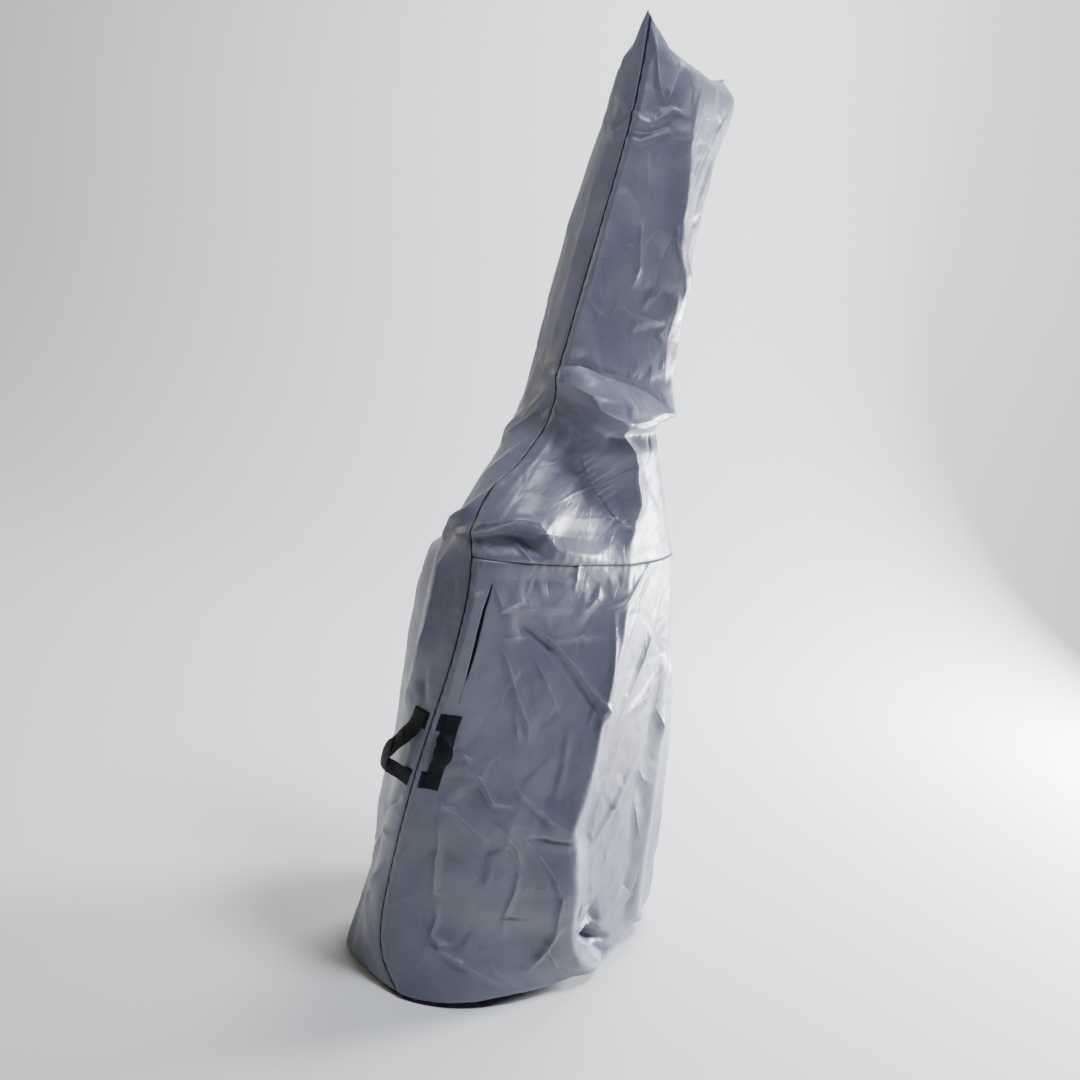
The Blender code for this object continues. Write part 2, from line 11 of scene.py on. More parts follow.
import bmesh
import bpy
import numpy as np
from mathutils import Matrix, Vector
from mathutils.bvhtree import BVHTree
from mathutils.geometry import delaunay_2d_cdt


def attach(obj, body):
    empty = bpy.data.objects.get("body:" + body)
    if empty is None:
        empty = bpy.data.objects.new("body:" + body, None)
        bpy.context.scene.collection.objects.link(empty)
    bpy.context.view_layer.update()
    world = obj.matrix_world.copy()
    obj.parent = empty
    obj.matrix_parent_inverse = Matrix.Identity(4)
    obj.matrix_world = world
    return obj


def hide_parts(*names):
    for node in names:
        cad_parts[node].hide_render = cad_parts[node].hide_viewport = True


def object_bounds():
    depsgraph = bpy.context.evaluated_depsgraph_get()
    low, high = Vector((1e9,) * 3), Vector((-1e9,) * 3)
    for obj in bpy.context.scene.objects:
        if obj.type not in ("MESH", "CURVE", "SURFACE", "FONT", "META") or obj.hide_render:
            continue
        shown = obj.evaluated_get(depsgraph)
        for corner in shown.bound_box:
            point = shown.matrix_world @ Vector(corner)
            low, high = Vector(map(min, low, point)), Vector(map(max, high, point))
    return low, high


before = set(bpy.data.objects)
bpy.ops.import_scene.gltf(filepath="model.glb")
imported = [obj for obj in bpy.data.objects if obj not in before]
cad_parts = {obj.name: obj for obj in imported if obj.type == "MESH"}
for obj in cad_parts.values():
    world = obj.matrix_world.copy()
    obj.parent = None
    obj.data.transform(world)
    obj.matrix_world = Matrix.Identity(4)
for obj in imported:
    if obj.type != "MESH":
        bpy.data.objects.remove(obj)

cad_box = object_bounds()
print("CAD box", [tuple(round(v, 3) for v in corner) for corner in cad_box])

# %% [markdown]
# ## The camera
# The photograph was taken from in front of the side seam, a little above the middle, and tilted.
# A camera is an object like any other: here its axes are worked out from the direction in which
# it looks, its pitch and its roll, and put into a rotation matrix.

# %% Camera
EYE = Vector((1.307, -2.153, -0.553))
LOOK_FROM, YAW, PITCH, ROLL = (math.radians(v) for v in (31.0, 2.55, -11.1, 11.3))
LENS_MM = 35.93

heading = Vector((-math.sin(LOOK_FROM + YAW), math.cos(LOOK_FROM + YAW), 0.0))
forward = (heading * math.cos(PITCH) + Vector((0, 0, math.sin(PITCH)))).normalized()
level = heading.cross(Vector((0, 0, 1))).normalized()
above = level.cross(forward)
right = level * math.cos(ROLL) + above * math.sin(ROLL)
up = above * math.cos(ROLL) - level * math.sin(ROLL)
camera_data = bpy.data.cameras.new("camera")
camera_data.lens = LENS_MM
camera_data.sensor_width = 36.0
camera = bpy.data.objects.new("camera", camera_data)
camera.matrix_world = Matrix.Translation(EYE) @ Matrix((right, up, -forward)).transposed().to_4x4()
bpy.context.scene.collection.objects.link(camera)
bpy.context.scene.camera = camera
print("camera looks along", tuple(round(v, 3) for v in forward))

# %% [markdown]
# ## The shape in which the cover hangs
# Cloth over a case has a plan outline at each height. A table of outlines is the simplest way to
# hold it: how far the cloth reaches to each side, where its two side seams run, and how square
# its corners are. Everything between two rows is filled in by a smooth curve.

# %% Table of outlines
HELD_AT = np.array((-0.090, 0.020, 2.030))
# in millimetres, and then how square the three corners are: 2 is round, more is boxy, less is pointed
COLUMNS = ("height", "left", "right", "near", "far", "seam", "far_seam", "sq_left", "sq_near", "sq_far")
SECTIONS = np.array((
    (0, -285, 190, -418, 445, -60, -40, 3.4, 2.5, 3),
    (60, -288, 188, -418, 445, -120, -40, 3.2, 2.5, 3),
    (200, -292, 178, -415, 440, -145, -40, 2.9, 2.5, 3),
    (500, -295, 152, -412, 420, -123, -40, 2.7, 2.5, 3),
    (750, -295, 118, -408, 395, -88, -40, 2.5, 2.5, 3),
    (880, -290, 90, -403, 370, -82, -40, 2.4, 2.6, 3),
    (985, -278, 64, -392, 350, -97, -50, 2.3, 2.6, 3),
    (1040, -264, 48, -370, 325, -125, -60, 2.4, 2.6, 2.8),
    (1130, -262, 30, -290, 275, -130, -90, 2.6, 2.8, 2.8),
    (1210, -262, 14, -215, 215, -130, -100, 2.8, 3, 3),
    (1290, -262, 0, -160, 165, -130, -100, 3.2, 3.4, 3.4),
    (1400, -260, 14, -150, 160, -135, -100, 3.2, 3.4, 3.4),
    (1700, -238, 14, -140, 150, -112, -100, 3.2, 3.4, 3.4),
    (1850, -222, 14, -134, 165, -100, -90, 3, 3.2, 3.2),
    (1960, -208, 12, -132, 185, -92, -90, 2.8, 2.8, 2.8),
    (2030, -200, 4, -133, 200, -92, -90, 2.3, 2.4, 2.8),
    (2055, -180, -16, -138, 212, -92, -90, 1.8, 1.8, 2.5),
    (2072, -142, -50, -145, 220, -92, -90, 1.5, 1.5, 2.2),
    (2080, -93, -89, -153, 222, -91, -91, 1.3, 1.3, 1.3),
)) / np.array([1000.0] * 7 + [1.0] * 3)
CROWN = 2.080
CROSS_SEAM, SEAM_HALF_GAP = 0.988, 0.0004
LEFT_WEIGHT = 0.55
LOOP_POINTS = 90


def smooth_interp(x, xs, ys):
    """Monotone cubic through a table, which never overshoots it."""
    step = np.diff(xs)
    rate = np.diff(ys) / step
    slope = np.concatenate(([rate[0]], 0.5 * (rate[:-1] + rate[1:]), [rate[-1]]))
    limit = 3.0 * np.minimum(np.abs(rate[:-1]), np.abs(rate[1:]))
    slope[1:-1] = np.where(rate[:-1] * rate[1:] > 0, np.clip(slope[1:-1], -limit, limit), 0.0)
    i = np.clip(np.searchsorted(xs, x) - 1, 0, len(step) - 1)
    t = np.clip((x - xs[i]) / step[i], 0.0, 1.0)
    a = (1 + 2 * t) * (1 - t) ** 2 * ys[i] + t * t * (3 - 2 * t) * ys[i + 1]
    return a + step[i] * (t * (1 - t) ** 2 * slope[i] - t * t * (1 - t) * slope[i + 1])


def section_at(height):
    """The row of the table that a height would have."""
    values = (float(smooth_interp(height, SECTIONS[:, 0], column)) for column in SECTIONS.T)
    return dict(zip(COLUMNS, values))


def run_along(points):
    """How far each point is along a line, measured over the two first coordinates."""
    return np.concatenate(([0.0], np.cumsum(np.hypot(*np.diff(np.asarray(points)[:, :2], axis=0).T))))


print("table of", len(SECTIONS), "outlines, hem to crown", CROWN, "m")

# %% [markdown]
# ## From the table to a surface
# Distance along the cloth from the near side seam is what a tailor would measure, so every point
# of the cover is named by that distance and by its height above the hem. The function below turns
# the two into a place in space.

# %% Outline and girth
def girth(height):
    """Table row, plan outline, distance along it, near seam's place and both panels' lengths."""
    row = section_at(height)
    turn = np.linspace(0.0, math.pi / 2, LOOP_POINTS)
    cx = LEFT_WEIGHT * row["left"] + (1.0 - LEFT_WEIGHT) * row["right"]
    cy, half = 0.5 * (row["near"] + row["far"]), 0.5 * (row["far"] - row["near"])
    runs = []
    for across, square, sign, back in (
        (row["left"] - cx, row["sq_left"], 1.0, 1), (row["left"] - cx, row["sq_left"], -1.0, -1),
        (row["right"] - cx, row["sq_near"], -1.0, 1), (row["right"] - cx, row["sq_far"], 1.0, -1),
    ):
        x = cx + across * np.sin(turn) ** (2.0 / square)
        y = cy + sign * half * np.cos(turn) ** (2.0 / square)
        runs.append(np.stack([x, y], -1)[::back][1 if runs else 0:])
    loop = np.concatenate(runs)
    arc = run_along(loop)
    middle = slice(2 * LOOP_POINTS - 2 - LOOP_POINTS // 2, 2 * LOOP_POINTS - 1 + LOOP_POINTS // 2)
    start = np.interp(row["seam"], loop[middle, 0], arc[middle])
    beyond = row["far_seam"] - cx
    return row, loop, arc, start, {1: abs(arc[-1] - beyond - start), -1: abs(start + beyond)}


print("girth at the hem:", round(float(girth(0.0)[2][-1]), 3), "m")

# %% [markdown]
# ## Where the case holds the cloth out
# A hard case has edges, and cloth runs nearly straight from one edge to the next. So the outline is
# pulled from its round shape towards a straight line between pairs of edges, more where the cloth
# hangs tight and less where it is loose.

# %% Taut cloth
# height and distance of the edges over which the case draws the cloth
SEAM_EDGE = ((0.0, 0.016), (2.1, 0.016))
FRONT_EDGE = (
    (0.0, 0.543), (0.183, 0.481), (0.286, 0.449), (0.358, 0.443), (0.414, 0.415), (0.485, 0.433),
    (0.573, 0.427), (0.660, 0.428), (0.748, 0.427), (0.900, 0.445), (0.988, 0.460),
)
SIDE_EDGE = ((0.0, 0.96), (0.75, 0.90), (0.988, 0.80))
FACET_EDGE = ((0.9, 0.030), (1.3, 0.030))
VALLEY_EDGE = (
    (1.0, 0.480), (1.059, 0.460), (1.085, 0.385), (1.128, 0.307), (1.181, 0.198), (1.232, 0.118),
    (1.3, 0.100),
)
NECK_EDGE = (
    (1.30, 0.345), (1.50, 0.345), (1.60, 0.314), (1.718, 0.205), (1.798, 0.183), (1.925, 0.142),
    (1.973, 0.138), (2.044, 0.156),
)
NECK_FAR_EDGE = ((1.30, 0.39), (1.90, 0.40), (2.00, 0.36), (2.07, 0.28))
NECK_LEFT_EDGE = ((1.20, 0.050), (1.40, 0.044), (1.662, 0.048), (1.798, 0.054), (1.909, 0.041))
NECK_BACK_EDGE = ((1.20, 0.128), (2.1, 0.128))

# side, first edge, last edge, height and share of the way from round to straight between them
TAUT = (
    (1, SEAM_EDGE, FRONT_EDGE, ((0.0, 0.35), (0.15, 0.75), (0.75, 0.85), (0.95, 0.80), (1.06, 0.0))),
    (1, FRONT_EDGE, SIDE_EDGE, ((0.0, 0.5), (0.75, 0.6), (1.06, 0.0))),
    (1, FACET_EDGE, VALLEY_EDGE,
     ((1.00, 0.0), (1.04, 0.6), (1.12, 0.8), (1.20, 0.6), (1.25, 0.0))),
    (1, SEAM_EDGE, NECK_EDGE,
     ((1.33, 0.0), (1.40, 0.6), (1.50, 0.85), (1.95, 0.85), (2.03, 0.5), (2.07, 0.0))),
    (1, NECK_EDGE, NECK_FAR_EDGE, ((1.33, 0.0), (1.42, 0.3), (1.95, 0.35), (2.07, 0.0))),
    (-1, SEAM_EDGE, NECK_LEFT_EDGE, ((1.30, 0.0), (1.40, 0.9), (1.90, 0.9), (1.95, 0.0))),
    (-1, NECK_LEFT_EDGE, NECK_BACK_EDGE, ((1.30, 0.0), (1.40, 0.8), (1.90, 0.8), (1.98, 0.0))),
)


def draw_taut(place, side, height, distance):
    """Where the case's edges hold the cloth out, it runs nearly straight from one to the next."""
    plan = place(distance)
    for this, first, last, share in TAUT:
        share = np.array(share)
        if this != side or not share[0, 0] <= height <= share[-1, 0]:
            continue
        start, end = (np.interp(height, *np.array(edge).T) for edge in (first, last))
        pull = np.interp(height, share[:, 0], share[:, 1])
        a, b = place(start), place(end)
        t = np.clip((distance - start) / (end - start), 0.0, 1.0)[:, None]
        inside = ((distance > start) & (distance < end))[:, None]
        plan = np.where(inside, plan + pull * (a + t * (b - a) - plan), plan)
    return plan


low = girth(0.5)
print("girth at 0.5 m:", round(float(low[2][-1]), 3), "m, right panel", round(float(low[4][1]), 3), "m")

# %% [markdown]
# ## Main folds
# The big folds are what makes the cover look like itself: the ledge where the cloth slumps under
# the neck, the valley and the facet on the shoulder, and the long creases down the body. Each is a
# line drawn on the cloth with a height along it, and falls away to both sides over its own reach.

# %% Table of folds
# name, reach above or left, reach below or right, sharpness from rounded at 0 to sharp at 1, then
# (distance, height, rise) of each point of the route, all lengths in millimetres
def in_metres(rows):
    """Rows of a table with a route made of their points, and millimetres turned into metres."""
    return tuple((name, above / 1000, below / 1000, sharp, np.array(route) / 1000)
                 for name, above, below, sharp, *route in rows)


FOLDS = in_metres((
    ("ledge lip", 85, 36, 0.5, (-20, 1378, 6), (40, 1360, 22), (130, 1314, 46), (180, 1304, 50),
     (260, 1318, 42), (350, 1342, 34), (400, 1350, 0)),
    ("ledge underside", 30, 45, 0.2, (100, 1285, 0), (200, 1272, -12), (330, 1278, -24), (400, 1280, 0)),
    ("shoulder valley", 80, 130, 0.35, (30, 1300, 0), (118, 1232, -30), (198, 1181, -42), (307, 1128, -34),
     (385, 1085, -20), (465, 1058, 0)),
    ("shoulder ridge", 45, 30, 0.6, (160, 1305, 0), (246, 1240, 18), (387, 1133, 20), (470, 1076, 0)),
    ("shoulder facet lip", 150, 30, 0.6, (0, 1045, 4), (40, 1050, 24), (100, 1062, 36), (150, 1056, 34),
     (210, 1016, 18), (320, 1010, 10), (440, 1050, 0)),
    ("arch hollow", 26, 30, 0.2, (0, 1018, -6), (60, 1022, -20), (130, 1022, -20), (190, 1000, -4)),
    ("flat diagonal", 24, 90, 0.4, (130, 870, 0), (210, 835, -9), (420, 652, -8), (450, 600, 0)),
    ("front crease", 90, 90, 0.7, (445, 960, 0), (440, 880, 10), (430, 740, 12), (430, 573, 12),
     (415, 414, 14), (450, 286, 14), (480, 183, 14), (530, 30, 12), (540, -50, 12)),
    ("hem pinch", 40, 40, 0.3, (580, 210, 0), (600, 135, -18), (620, 40, -12), (630, -50, -12)),
    ("neck front crease", 50, 50, 0.6, (156, 2030, 0), (140, 1950, 8), (183, 1798, 12), (205, 1718, 12),
     (310, 1600, 0)),
    ("neck low corner", 100, 240, 1, (205, 1718, 0), (240, 1660, 8), (285, 1580, 12), (300, 1460, 12),
     (330, 1380, 0)),
    ("left welt high", 30, 30, 0.5, (-10, 1365, 0), (-50, 1300, 10), (-100, 1240, 10), (-140, 1200, 0)),
    ("left welt low", 28, 28, 0.6, (26, 1200, 0), (5, 1121, 10), (-31, 1058, 12), (-93, 1026, 12),
     (-160, 970, 0)),
    ("near left edge", 60, 60, 0.7, (-100, 1020, 0), (-92, 940, 14), (-90, 800, 14), (-100, 676, 10),
     (-150, 400, 0)),
    ("left shoulder corner", 140, 120, 0.6, (-260, 1000, 0), (-255, 945, 54), (-250, 800, 50),
     (-250, 560, 56), (-240, 300, 70), (-230, 50, 40), (-230, -50, 34)),
    ("left drape high", 60, 60, 0.4, (-420, 1100, 0), (-500, 900, 16), (-550, 600, 18), (-580, 250, 12),
     (-600, -50, 12)),
    ("left drape low", 70, 70, 0.4, (-750, 950, 0), (-800, 700, -16), (-800, 300, -18), (-820, -50, -14)),
    ("right drape", 70, 70, 0.4, (700, 960, 0), (760, 700, 14), (800, 350, 16), (820, -50, 14)),
    ("left neck drape", 50, 50, 0.5, (-220, 1900, 0), (-260, 1700, 10), (-300, 1450, 14), (-360, 1250, 12),
     (-460, 1080, 0)),
    ("right neck drape", 50, 50, 0.5, (300, 1950, 0), (280, 1800, -10), (340, 1600, -10), (360, 1460, 0)),
))
FOLD_POWER, ROUTE_STEP = 1.6, 0.030


def eased(route):
    """The same route as a smooth curve through its points."""
    run = run_along(route)
    at = np.linspace(0.0, run[-1], int(run[-1] / ROUTE_STEP) + 3)
    return np.stack([smooth_interp(at, run, column) for column in route.T], -1)


def with_smooth_routes(rows, starts=("",)):
    """The rows, with a smooth route in those whose names start in one of these ways."""
    return tuple((*row[:4], eased(row[4])) if row[0].startswith(starts) else row for row in rows)


def stretches(route, distance, height):
    """For each straight stretch of a route: the gap to it, whether a point is above it, and its rise."""
    for start, end in zip(route[:-1], route[1:]):
        dx, dy = end[0] - start[0], end[1] - start[1]
        px, py = distance - start[0], height - start[1]
        t = np.clip((px * dx + py * dy) / (dx * dx + dy * dy), 0.0, 1.0)
        yield np.hypot(px - t * dx, py - t * dy), dx * py - dy * px > 0, start[2] + t * (end[2] - start[2])


# Broad folds whose routes bend would show an inner edge where the nearest stretch changes. In these
# the stretches are mixed, more widely the farther a point is from the route.
BLENDED = ("shoulder valley", "shoulder facet lip", "valley foot")
BLEND_REACH, BLEND_GROWTH = 0.002, 0.28


def blended(gaps, lifts):
    """The lifts of all stretches of a route, mixed by how near each of them is."""
    gaps, lifts = np.stack(gaps), np.stack(lifts)
    nearest = gaps.min(axis=0)
    weights = np.exp((nearest - gaps) / (BLEND_REACH + BLEND_GROWTH * nearest))
    return (weights * lifts).sum(axis=0) / weights.sum(axis=0)


def fold_rise(distance, height, folds, power):
    """How far a table of folds lifts the cloth at each distance and height."""
    rise = np.zeros_like(distance)
    for name, above, below, sharpness, route in folds:
        best = np.full(distance.shape, np.inf)
        value = np.zeros_like(distance)
        gaps, lifts = [], []
        for gap, over, top in stretches(route, distance, height):
            near = np.clip(1.0 - gap / np.where(over, above, below), 0.0, 1.0)
            shape = sharpness * near ** power + (1.0 - sharpness) * np.sin(0.5 * math.pi * near) ** 2
            gaps.append(gap)
            lifts.append(shape * top)
            value = np.where(gap < best, lifts[-1], value)
            best = np.minimum(gap, best)
        rise += blended(gaps, lifts) if name in BLENDED else value
    return rise


SMOOTH_FOLDS = with_smooth_routes(FOLDS)
print(len(FOLDS), "main folds")

# %% [markdown]
# ## Creases of the neck and shoulder
# Between the main folds run the creases that a viewer knows the cover by. They use the same table
# as the folds, with short reaches and a sharp top. First come the welts where the neck is
# gathered, the sharp ridge under the ledge and the arch above the cross seam.

# %% Upper creases
CREASES = in_metres((
    ("crown crease", 34, 14, 0.8, (6, 2070, 1), (26, 2044, 6), (48, 2003, 7), (74, 1967, 0)),
    ("crown branch", 18, 22, 0.8, (87, 2035, 0), (75, 1994, 6), (70, 1967, 0)),
    ("crown front edge", 24, 20, 0.9, (85, 2060, 0), (105, 2041, 5), (130, 2012, 6), (132, 1950, 0)),
    ("neck welt high", 9, 15, 0.6, (-3, 1946, 3), (22, 1928, 7), (45, 1925, 7), (71, 1946, 4),
     (120, 1958, 0)),
    ("neck welt side", 9, 14, 0.6, (60, 1953, 0), (90, 1962, 5), (128, 1958, 0)),
    ("neck hollow", 14, 14, 0.2, (20, 1908, -4), (45, 1908, -5), (85, 1926, -3)),
    ("neck welt low", 10, 20, 0.6, (10, 1890, 4), (35, 1886, 6), (62, 1901, 6), (94, 1922, 0)),
    ("left neck welt", 9, 14, 0.6, (-56, 1915, 0), (-34, 1903, 5), (-12, 1922, 6), (-3, 1938, 3)),
    ("left neck welt low", 9, 12, 0.6, (-44, 1895, 0), (-24, 1888, 5), (-6, 1900, 2)),
    ("neck upright crease", 12, 20, 0.8, (57, 1884, 0), (72, 1840, 3), (91, 1797, 0)),
    ("neck middle crease", 18, 14, 0.8, (98, 1740, 0), (110, 1700, 5), (133, 1640, 6), (138, 1586, 0)),
    ("neck fork left", 16, 26, 0.8, (186, 1722, 0), (190, 1665, -4), (199, 1600, 0)),
    ("neck fork right", 30, 14, 0.9, (188, 1740, 0), (200, 1712, 6), (286, 1622, 7), (310, 1585, 0)),
    ("neck level line", 10, 12, 0.8, (100, 1560, 0), (150, 1541, 2), (228, 1535, 3), (352, 1527, 0)),
    ("neck small line", 10, 10, 0.8, (19, 1550, 0), (63, 1529, 3), (103, 1521, 0)),
    ("neck seam line", 12, 18, 0.7, (12, 1765, 0), (20, 1600, 2), (16, 1470, 0)),
    ("far neck light", 30, 30, 0.6, (310, 1930, 0), (300, 1850, 5), (290, 1780, 0)),
    ("ledge upper line", 20, 16, 0.8, (0, 1396, -2), (55, 1405, -5), (123, 1392, -5), (187, 1387, -4),
     (255, 1372, -3), (325, 1345, 0)),
    ("ledge edge", 16, 12, 0.9, (30, 1362, 2), (74, 1345, 4), (108, 1327, 5), (140, 1312, 7),
     (208, 1322, 5), (330, 1343, 4)),
    ("ledge ridge", 16, 14, 0.9, (140, 1312, 6), (190, 1281, 6), (240, 1247, 6), (323, 1178, 6),
     (427, 1101, 5), (473, 1056, 0)),
    ("valley foot", 50, 40, 0.7, (64, 1274, 0), (118, 1229, -4), (198, 1181, -6), (307, 1128, -6),
     (385, 1080, -4), (465, 1058, 0)),
    ("apex line", 12, 20, 0.8, (4, 1300, 2), (14, 1290, 4), (57, 1272, 3), (100, 1250, 0)),
    ("facet left edge", 14, 60, 0.6, (14, 1283, 2), (30, 1217, 4), (50, 1120, 3), (46, 1060, 0)),
    ("facet cross line", 6, 6, 0.8, (128, 1098, 0), (188, 1134, 1.5), (306, 1166, 0)),
    ("shoulder streak", 20, 26, 0.8, (312, 1205, 0), (435, 1120, 3), (498, 1062, 0)),
    ("under ledge fill", 36, 44, 0.2, (270, 1276, 0), (330, 1276, 12), (385, 1278, 0)),
    ("shoulder hollow", 26, 20, 0.4, (302, 1217, 0), (481, 1143, -4), (591, 1089, 0)),
    ("far shoulder line", 18, 18, 0.8, (520, 1120, 0), (590, 1060, 3), (640, 1000, 0)),
    ("arch lip", 16, 10, 0.9, (-40, 1020, 2), (0, 1030, 5), (49, 1043, 6), (101, 1064, 7), (151, 1052, 6),
     (204, 1009, 0)),
    ("arch inside", 12, 14, 0.4, (20, 1030, -6), (80, 1046, -11), (140, 1038, -8), (185, 1004, 0)),
    ("arch cusp", 12, 10, 0.8, (108, 1036, 0), (128, 1014, 5), (150, 990, 0)),
    ("arch fill", 26, 30, 0.2, (0, 1018, 3), (60, 1022, 16), (130, 1022, 16), (190, 1000, 3)),
    ("left high welt", 14, 12, 0.9, (0, 1362, 0), (-41, 1285, 5), (-75, 1240, 5), (-120, 1190, 0)),
    ("left low welt", 14, 12, 0.9, (20, 1187, 0), (2, 1125, 5), (-26, 1064, 6), (-75, 1030, 6),
     (-130, 985, 0)),
    ("left middle welt", 20, 14, 0.8, (-10, 1250, 0), (-50, 1170, 5), (-90, 1110, 0)),
    ("left strip edge", 22, 16, 0.9, (-46, 1024, 0), (-77, 949, 6), (-79, 875, 6), (-81, 768, 6),
     (-95, 702, 0)),
    ("left strip hollow", 14, 22, 0.5, (-61, 740, 0), (-58, 690, -6), (-27, 643, 0)),
))
print(len(CREASES), "creases above the cross seam and down the left strip")

# %% [markdown]
# ## Creases of the body and the hem
# Below the cross seam the cloth is wider than the case, and it falls into a flattened band, short
# crumples beside the strap and a fan of broken lines above the hem.

# %% Lower creases
CREASES += in_metres((
    ("slit upper facet", 26, 10, 0.9, (62, 942, 0), (78, 912, 4), (92, 887, 5), (147, 908, 0)),
    ("slit left facet", 20, 12, 0.8, (4, 940, 0), (18, 917, 4), (45, 930, 0)),
    ("seam drop", 10, 10, 0.8, (278, 987, 3), (280, 955, 3), (282, 928, 0)),
    ("puff under seam", 18, 16, 0.5, (198, 975, 0), (252, 955, 4), (365, 958, 0)),
    ("body top crease", 20, 14, 0.8, (362, 950, 0), (353, 919, 4), (302, 875, 0)),
    ("body long level", 8, 10, 0.8, (98, 887, 2), (250, 890, 2), (393, 884, 0)),
    ("body level left", 8, 10, 0.8, (102, 824, 0), (140, 828, 3), (200, 830, 0)),
    ("body level right", 8, 10, 0.8, (238, 824, 2), (330, 830, 3), (419, 830, 0)),
    ("corner crease", 16, 12, 0.8, (575, 1000, 0), (500, 948, 4), (431, 900, 4), (361, 881, 0)),
    ("band upper edge", 10, 12, 0.9, (160, 860, 0), (238, 828, 3), (320, 768, 4), (425, 678, 6),
     (440, 655, 0)),
    ("band lower edge", 12, 12, 0.9, (150, 850, 0), (210, 812, 1), (291, 753, 1.2), (419, 655, 1)),
    ("band root", 26, 26, 0.4, (125, 875, 0), (165, 852, -6), (230, 815, -4)),
    ("dark dart", 18, 12, 0.6, (312, 845, 0), (318, 815, -4), (330, 785, 0)),
    ("body light one", 26, 12, 0.8, (105, 815, 0), (141, 768, 5), (183, 702, 5), (237, 634, 3),
     (250, 590, 0)),
    ("body light two", 18, 12, 0.8, (198, 797, 0), (249, 732, 4), (321, 652, 0)),
    ("front upper crease", 18, 16, 0.9, (405, 900, 0), (413, 830, 4), (418, 762, 5), (424, 640, 4),
     (426, 560, 0)),
    ("far streak one", 22, 18, 0.8, (575, 985, 0), (528, 934, 4), (431, 875, 0)),
    ("far streak two", 30, 20, 0.8, (791, 741, 0), (658, 664, 5), (533, 634, 0)),
    ("far streak three", 30, 24, 0.8, (660, 920, 0), (600, 760, 5), (500, 600, 0)),
    ("far streak four", 26, 22, 0.7, (720, 560, 0), (600, 420, 5), (500, 330, 0)),
    ("strap crumple one", 12, 10, 0.8, (80, 568, 0), (107, 559, 4), (132, 549, 0)),
    ("strap crumple two", 16, 10, 0.8, (100, 542, 0), (137, 520, 5), (159, 513, 5), (207, 458, 5),
     (270, 453, 0)),
    ("strap crumple three", 14, 10, 0.8, (78, 455, 0), (93, 436, 4), (134, 437, 0)),
    ("lower light one", 16, 10, 0.8, (86, 432, 0), (127, 425, 4), (174, 396, 5), (224, 369, 0)),
    ("lower light two", 18, 10, 0.8, (211, 530, 0), (274, 482, 5), (357, 431, 4), (400, 415, 0)),
    ("lower upright", 14, 14, 0.8, (181, 690, 0), (211, 625, 3), (231, 590, 0)),
    ("upright by front", 18, 14, 0.7, (338, 660, 0), (356, 545, 4), (359, 440, 0)),
    ("lower seam side", 18, 12, 0.8, (86, 412, 0), (107, 348, 4), (112, 298, 4), (125, 232, 5),
     (160, 224, 0)),
    ("lower seam foot", 16, 10, 0.8, (130, 205, 0), (146, 173, 4), (139, 128, 5), (160, 113, 5),
     (200, 117, 0)),
    ("lower arc", 24, 10, 0.8, (214, 415, 0), (256, 393, 5), (300, 355, 5), (322, 310, 0)),
    ("dark facet", 100, 16, 0.9, (274, 406, 0), (338, 363, 6), (400, 310, 11), (440, 260, 12),
     (458, 130, 0)),
    ("level line low", 8, 8, 0.8, (294, 384, 0), (360, 388, -3), (422, 387, -3), (440, 380, 0)),
    ("facet upright", 16, 12, 0.8, (318, 330, 0), (320, 250, 4), (311, 196, 3), (318, 131, 0)),
    ("lower short upright", 12, 12, 0.7, (233, 345, 0), (246, 295, 3), (242, 240, 0)),
    ("low level line", 8, 8, 0.8, (290, 197, 0), (319, 187, -3), (385, 191, 0)),
    ("hem fan one", 18, 10, 0.9, (421, 136, 0), (448, 92, 5), (469, 12, 2)),
    ("hem fan two", 12, 16, 0.9, (465, 190, 0), (449, 134, 6), (424, 92, 5), (373, 50, 0)),
    ("hem fan three", 16, 10, 0.8, (127, 98, 0), (165, 93, 3), (213, 76, 5), (287, 36, 0)),
    ("hem fan four", 12, 12, 0.8, (273, 86, 0), (290, 66, 3), (310, 50, 0)),
    ("hem pocket", 20, 26, 0.4, (530, 152, 0), (555, 132, -17), (600, 100, -24), (660, 60, -8)),
    ("hem pocket lip", 12, 12, 0.8, (500, 150, 0), (545, 158, 7), (590, 146, 7), (640, 110, 0)),
    ("hem pocket wing", 10, 12, 0.8, (500, 170, 0), (515, 198, -7), (525, 215, 0)),
    ("hem pocket curl", 8, 10, 0.7, (545, 190, 0), (565, 198, -5), (592, 186, 0)),
    ("left fold one", 14, 12, 0.8, (-147, 321, 0), (-47, 399, -6), (-15, 428, 0)),
    ("left fold two", 16, 12, 0.8, (-120, 300, 0), (-60, 315, 5), (0, 327, 0)),
    ("left fold three", 26, 18, 0.8, (-150, 90, 0), (-54, 208, 6), (-16, 265, 0)),
    ("left fold four", 30, 20, 0.8, (-195, 140, 0), (-134, 232, 7), (-87, 320, 0)),
    ("left fold five", 24, 24, 0.6, (-50, 80, 0), (-110, 120, 5), (-180, 60, 0)),
    ("left hem corner", 30, 20, 0.7, (-220, 180, 0), (-205, 80, 7), (-190, 0, 4)),
))
print(len(CREASES), "creases placed by hand")
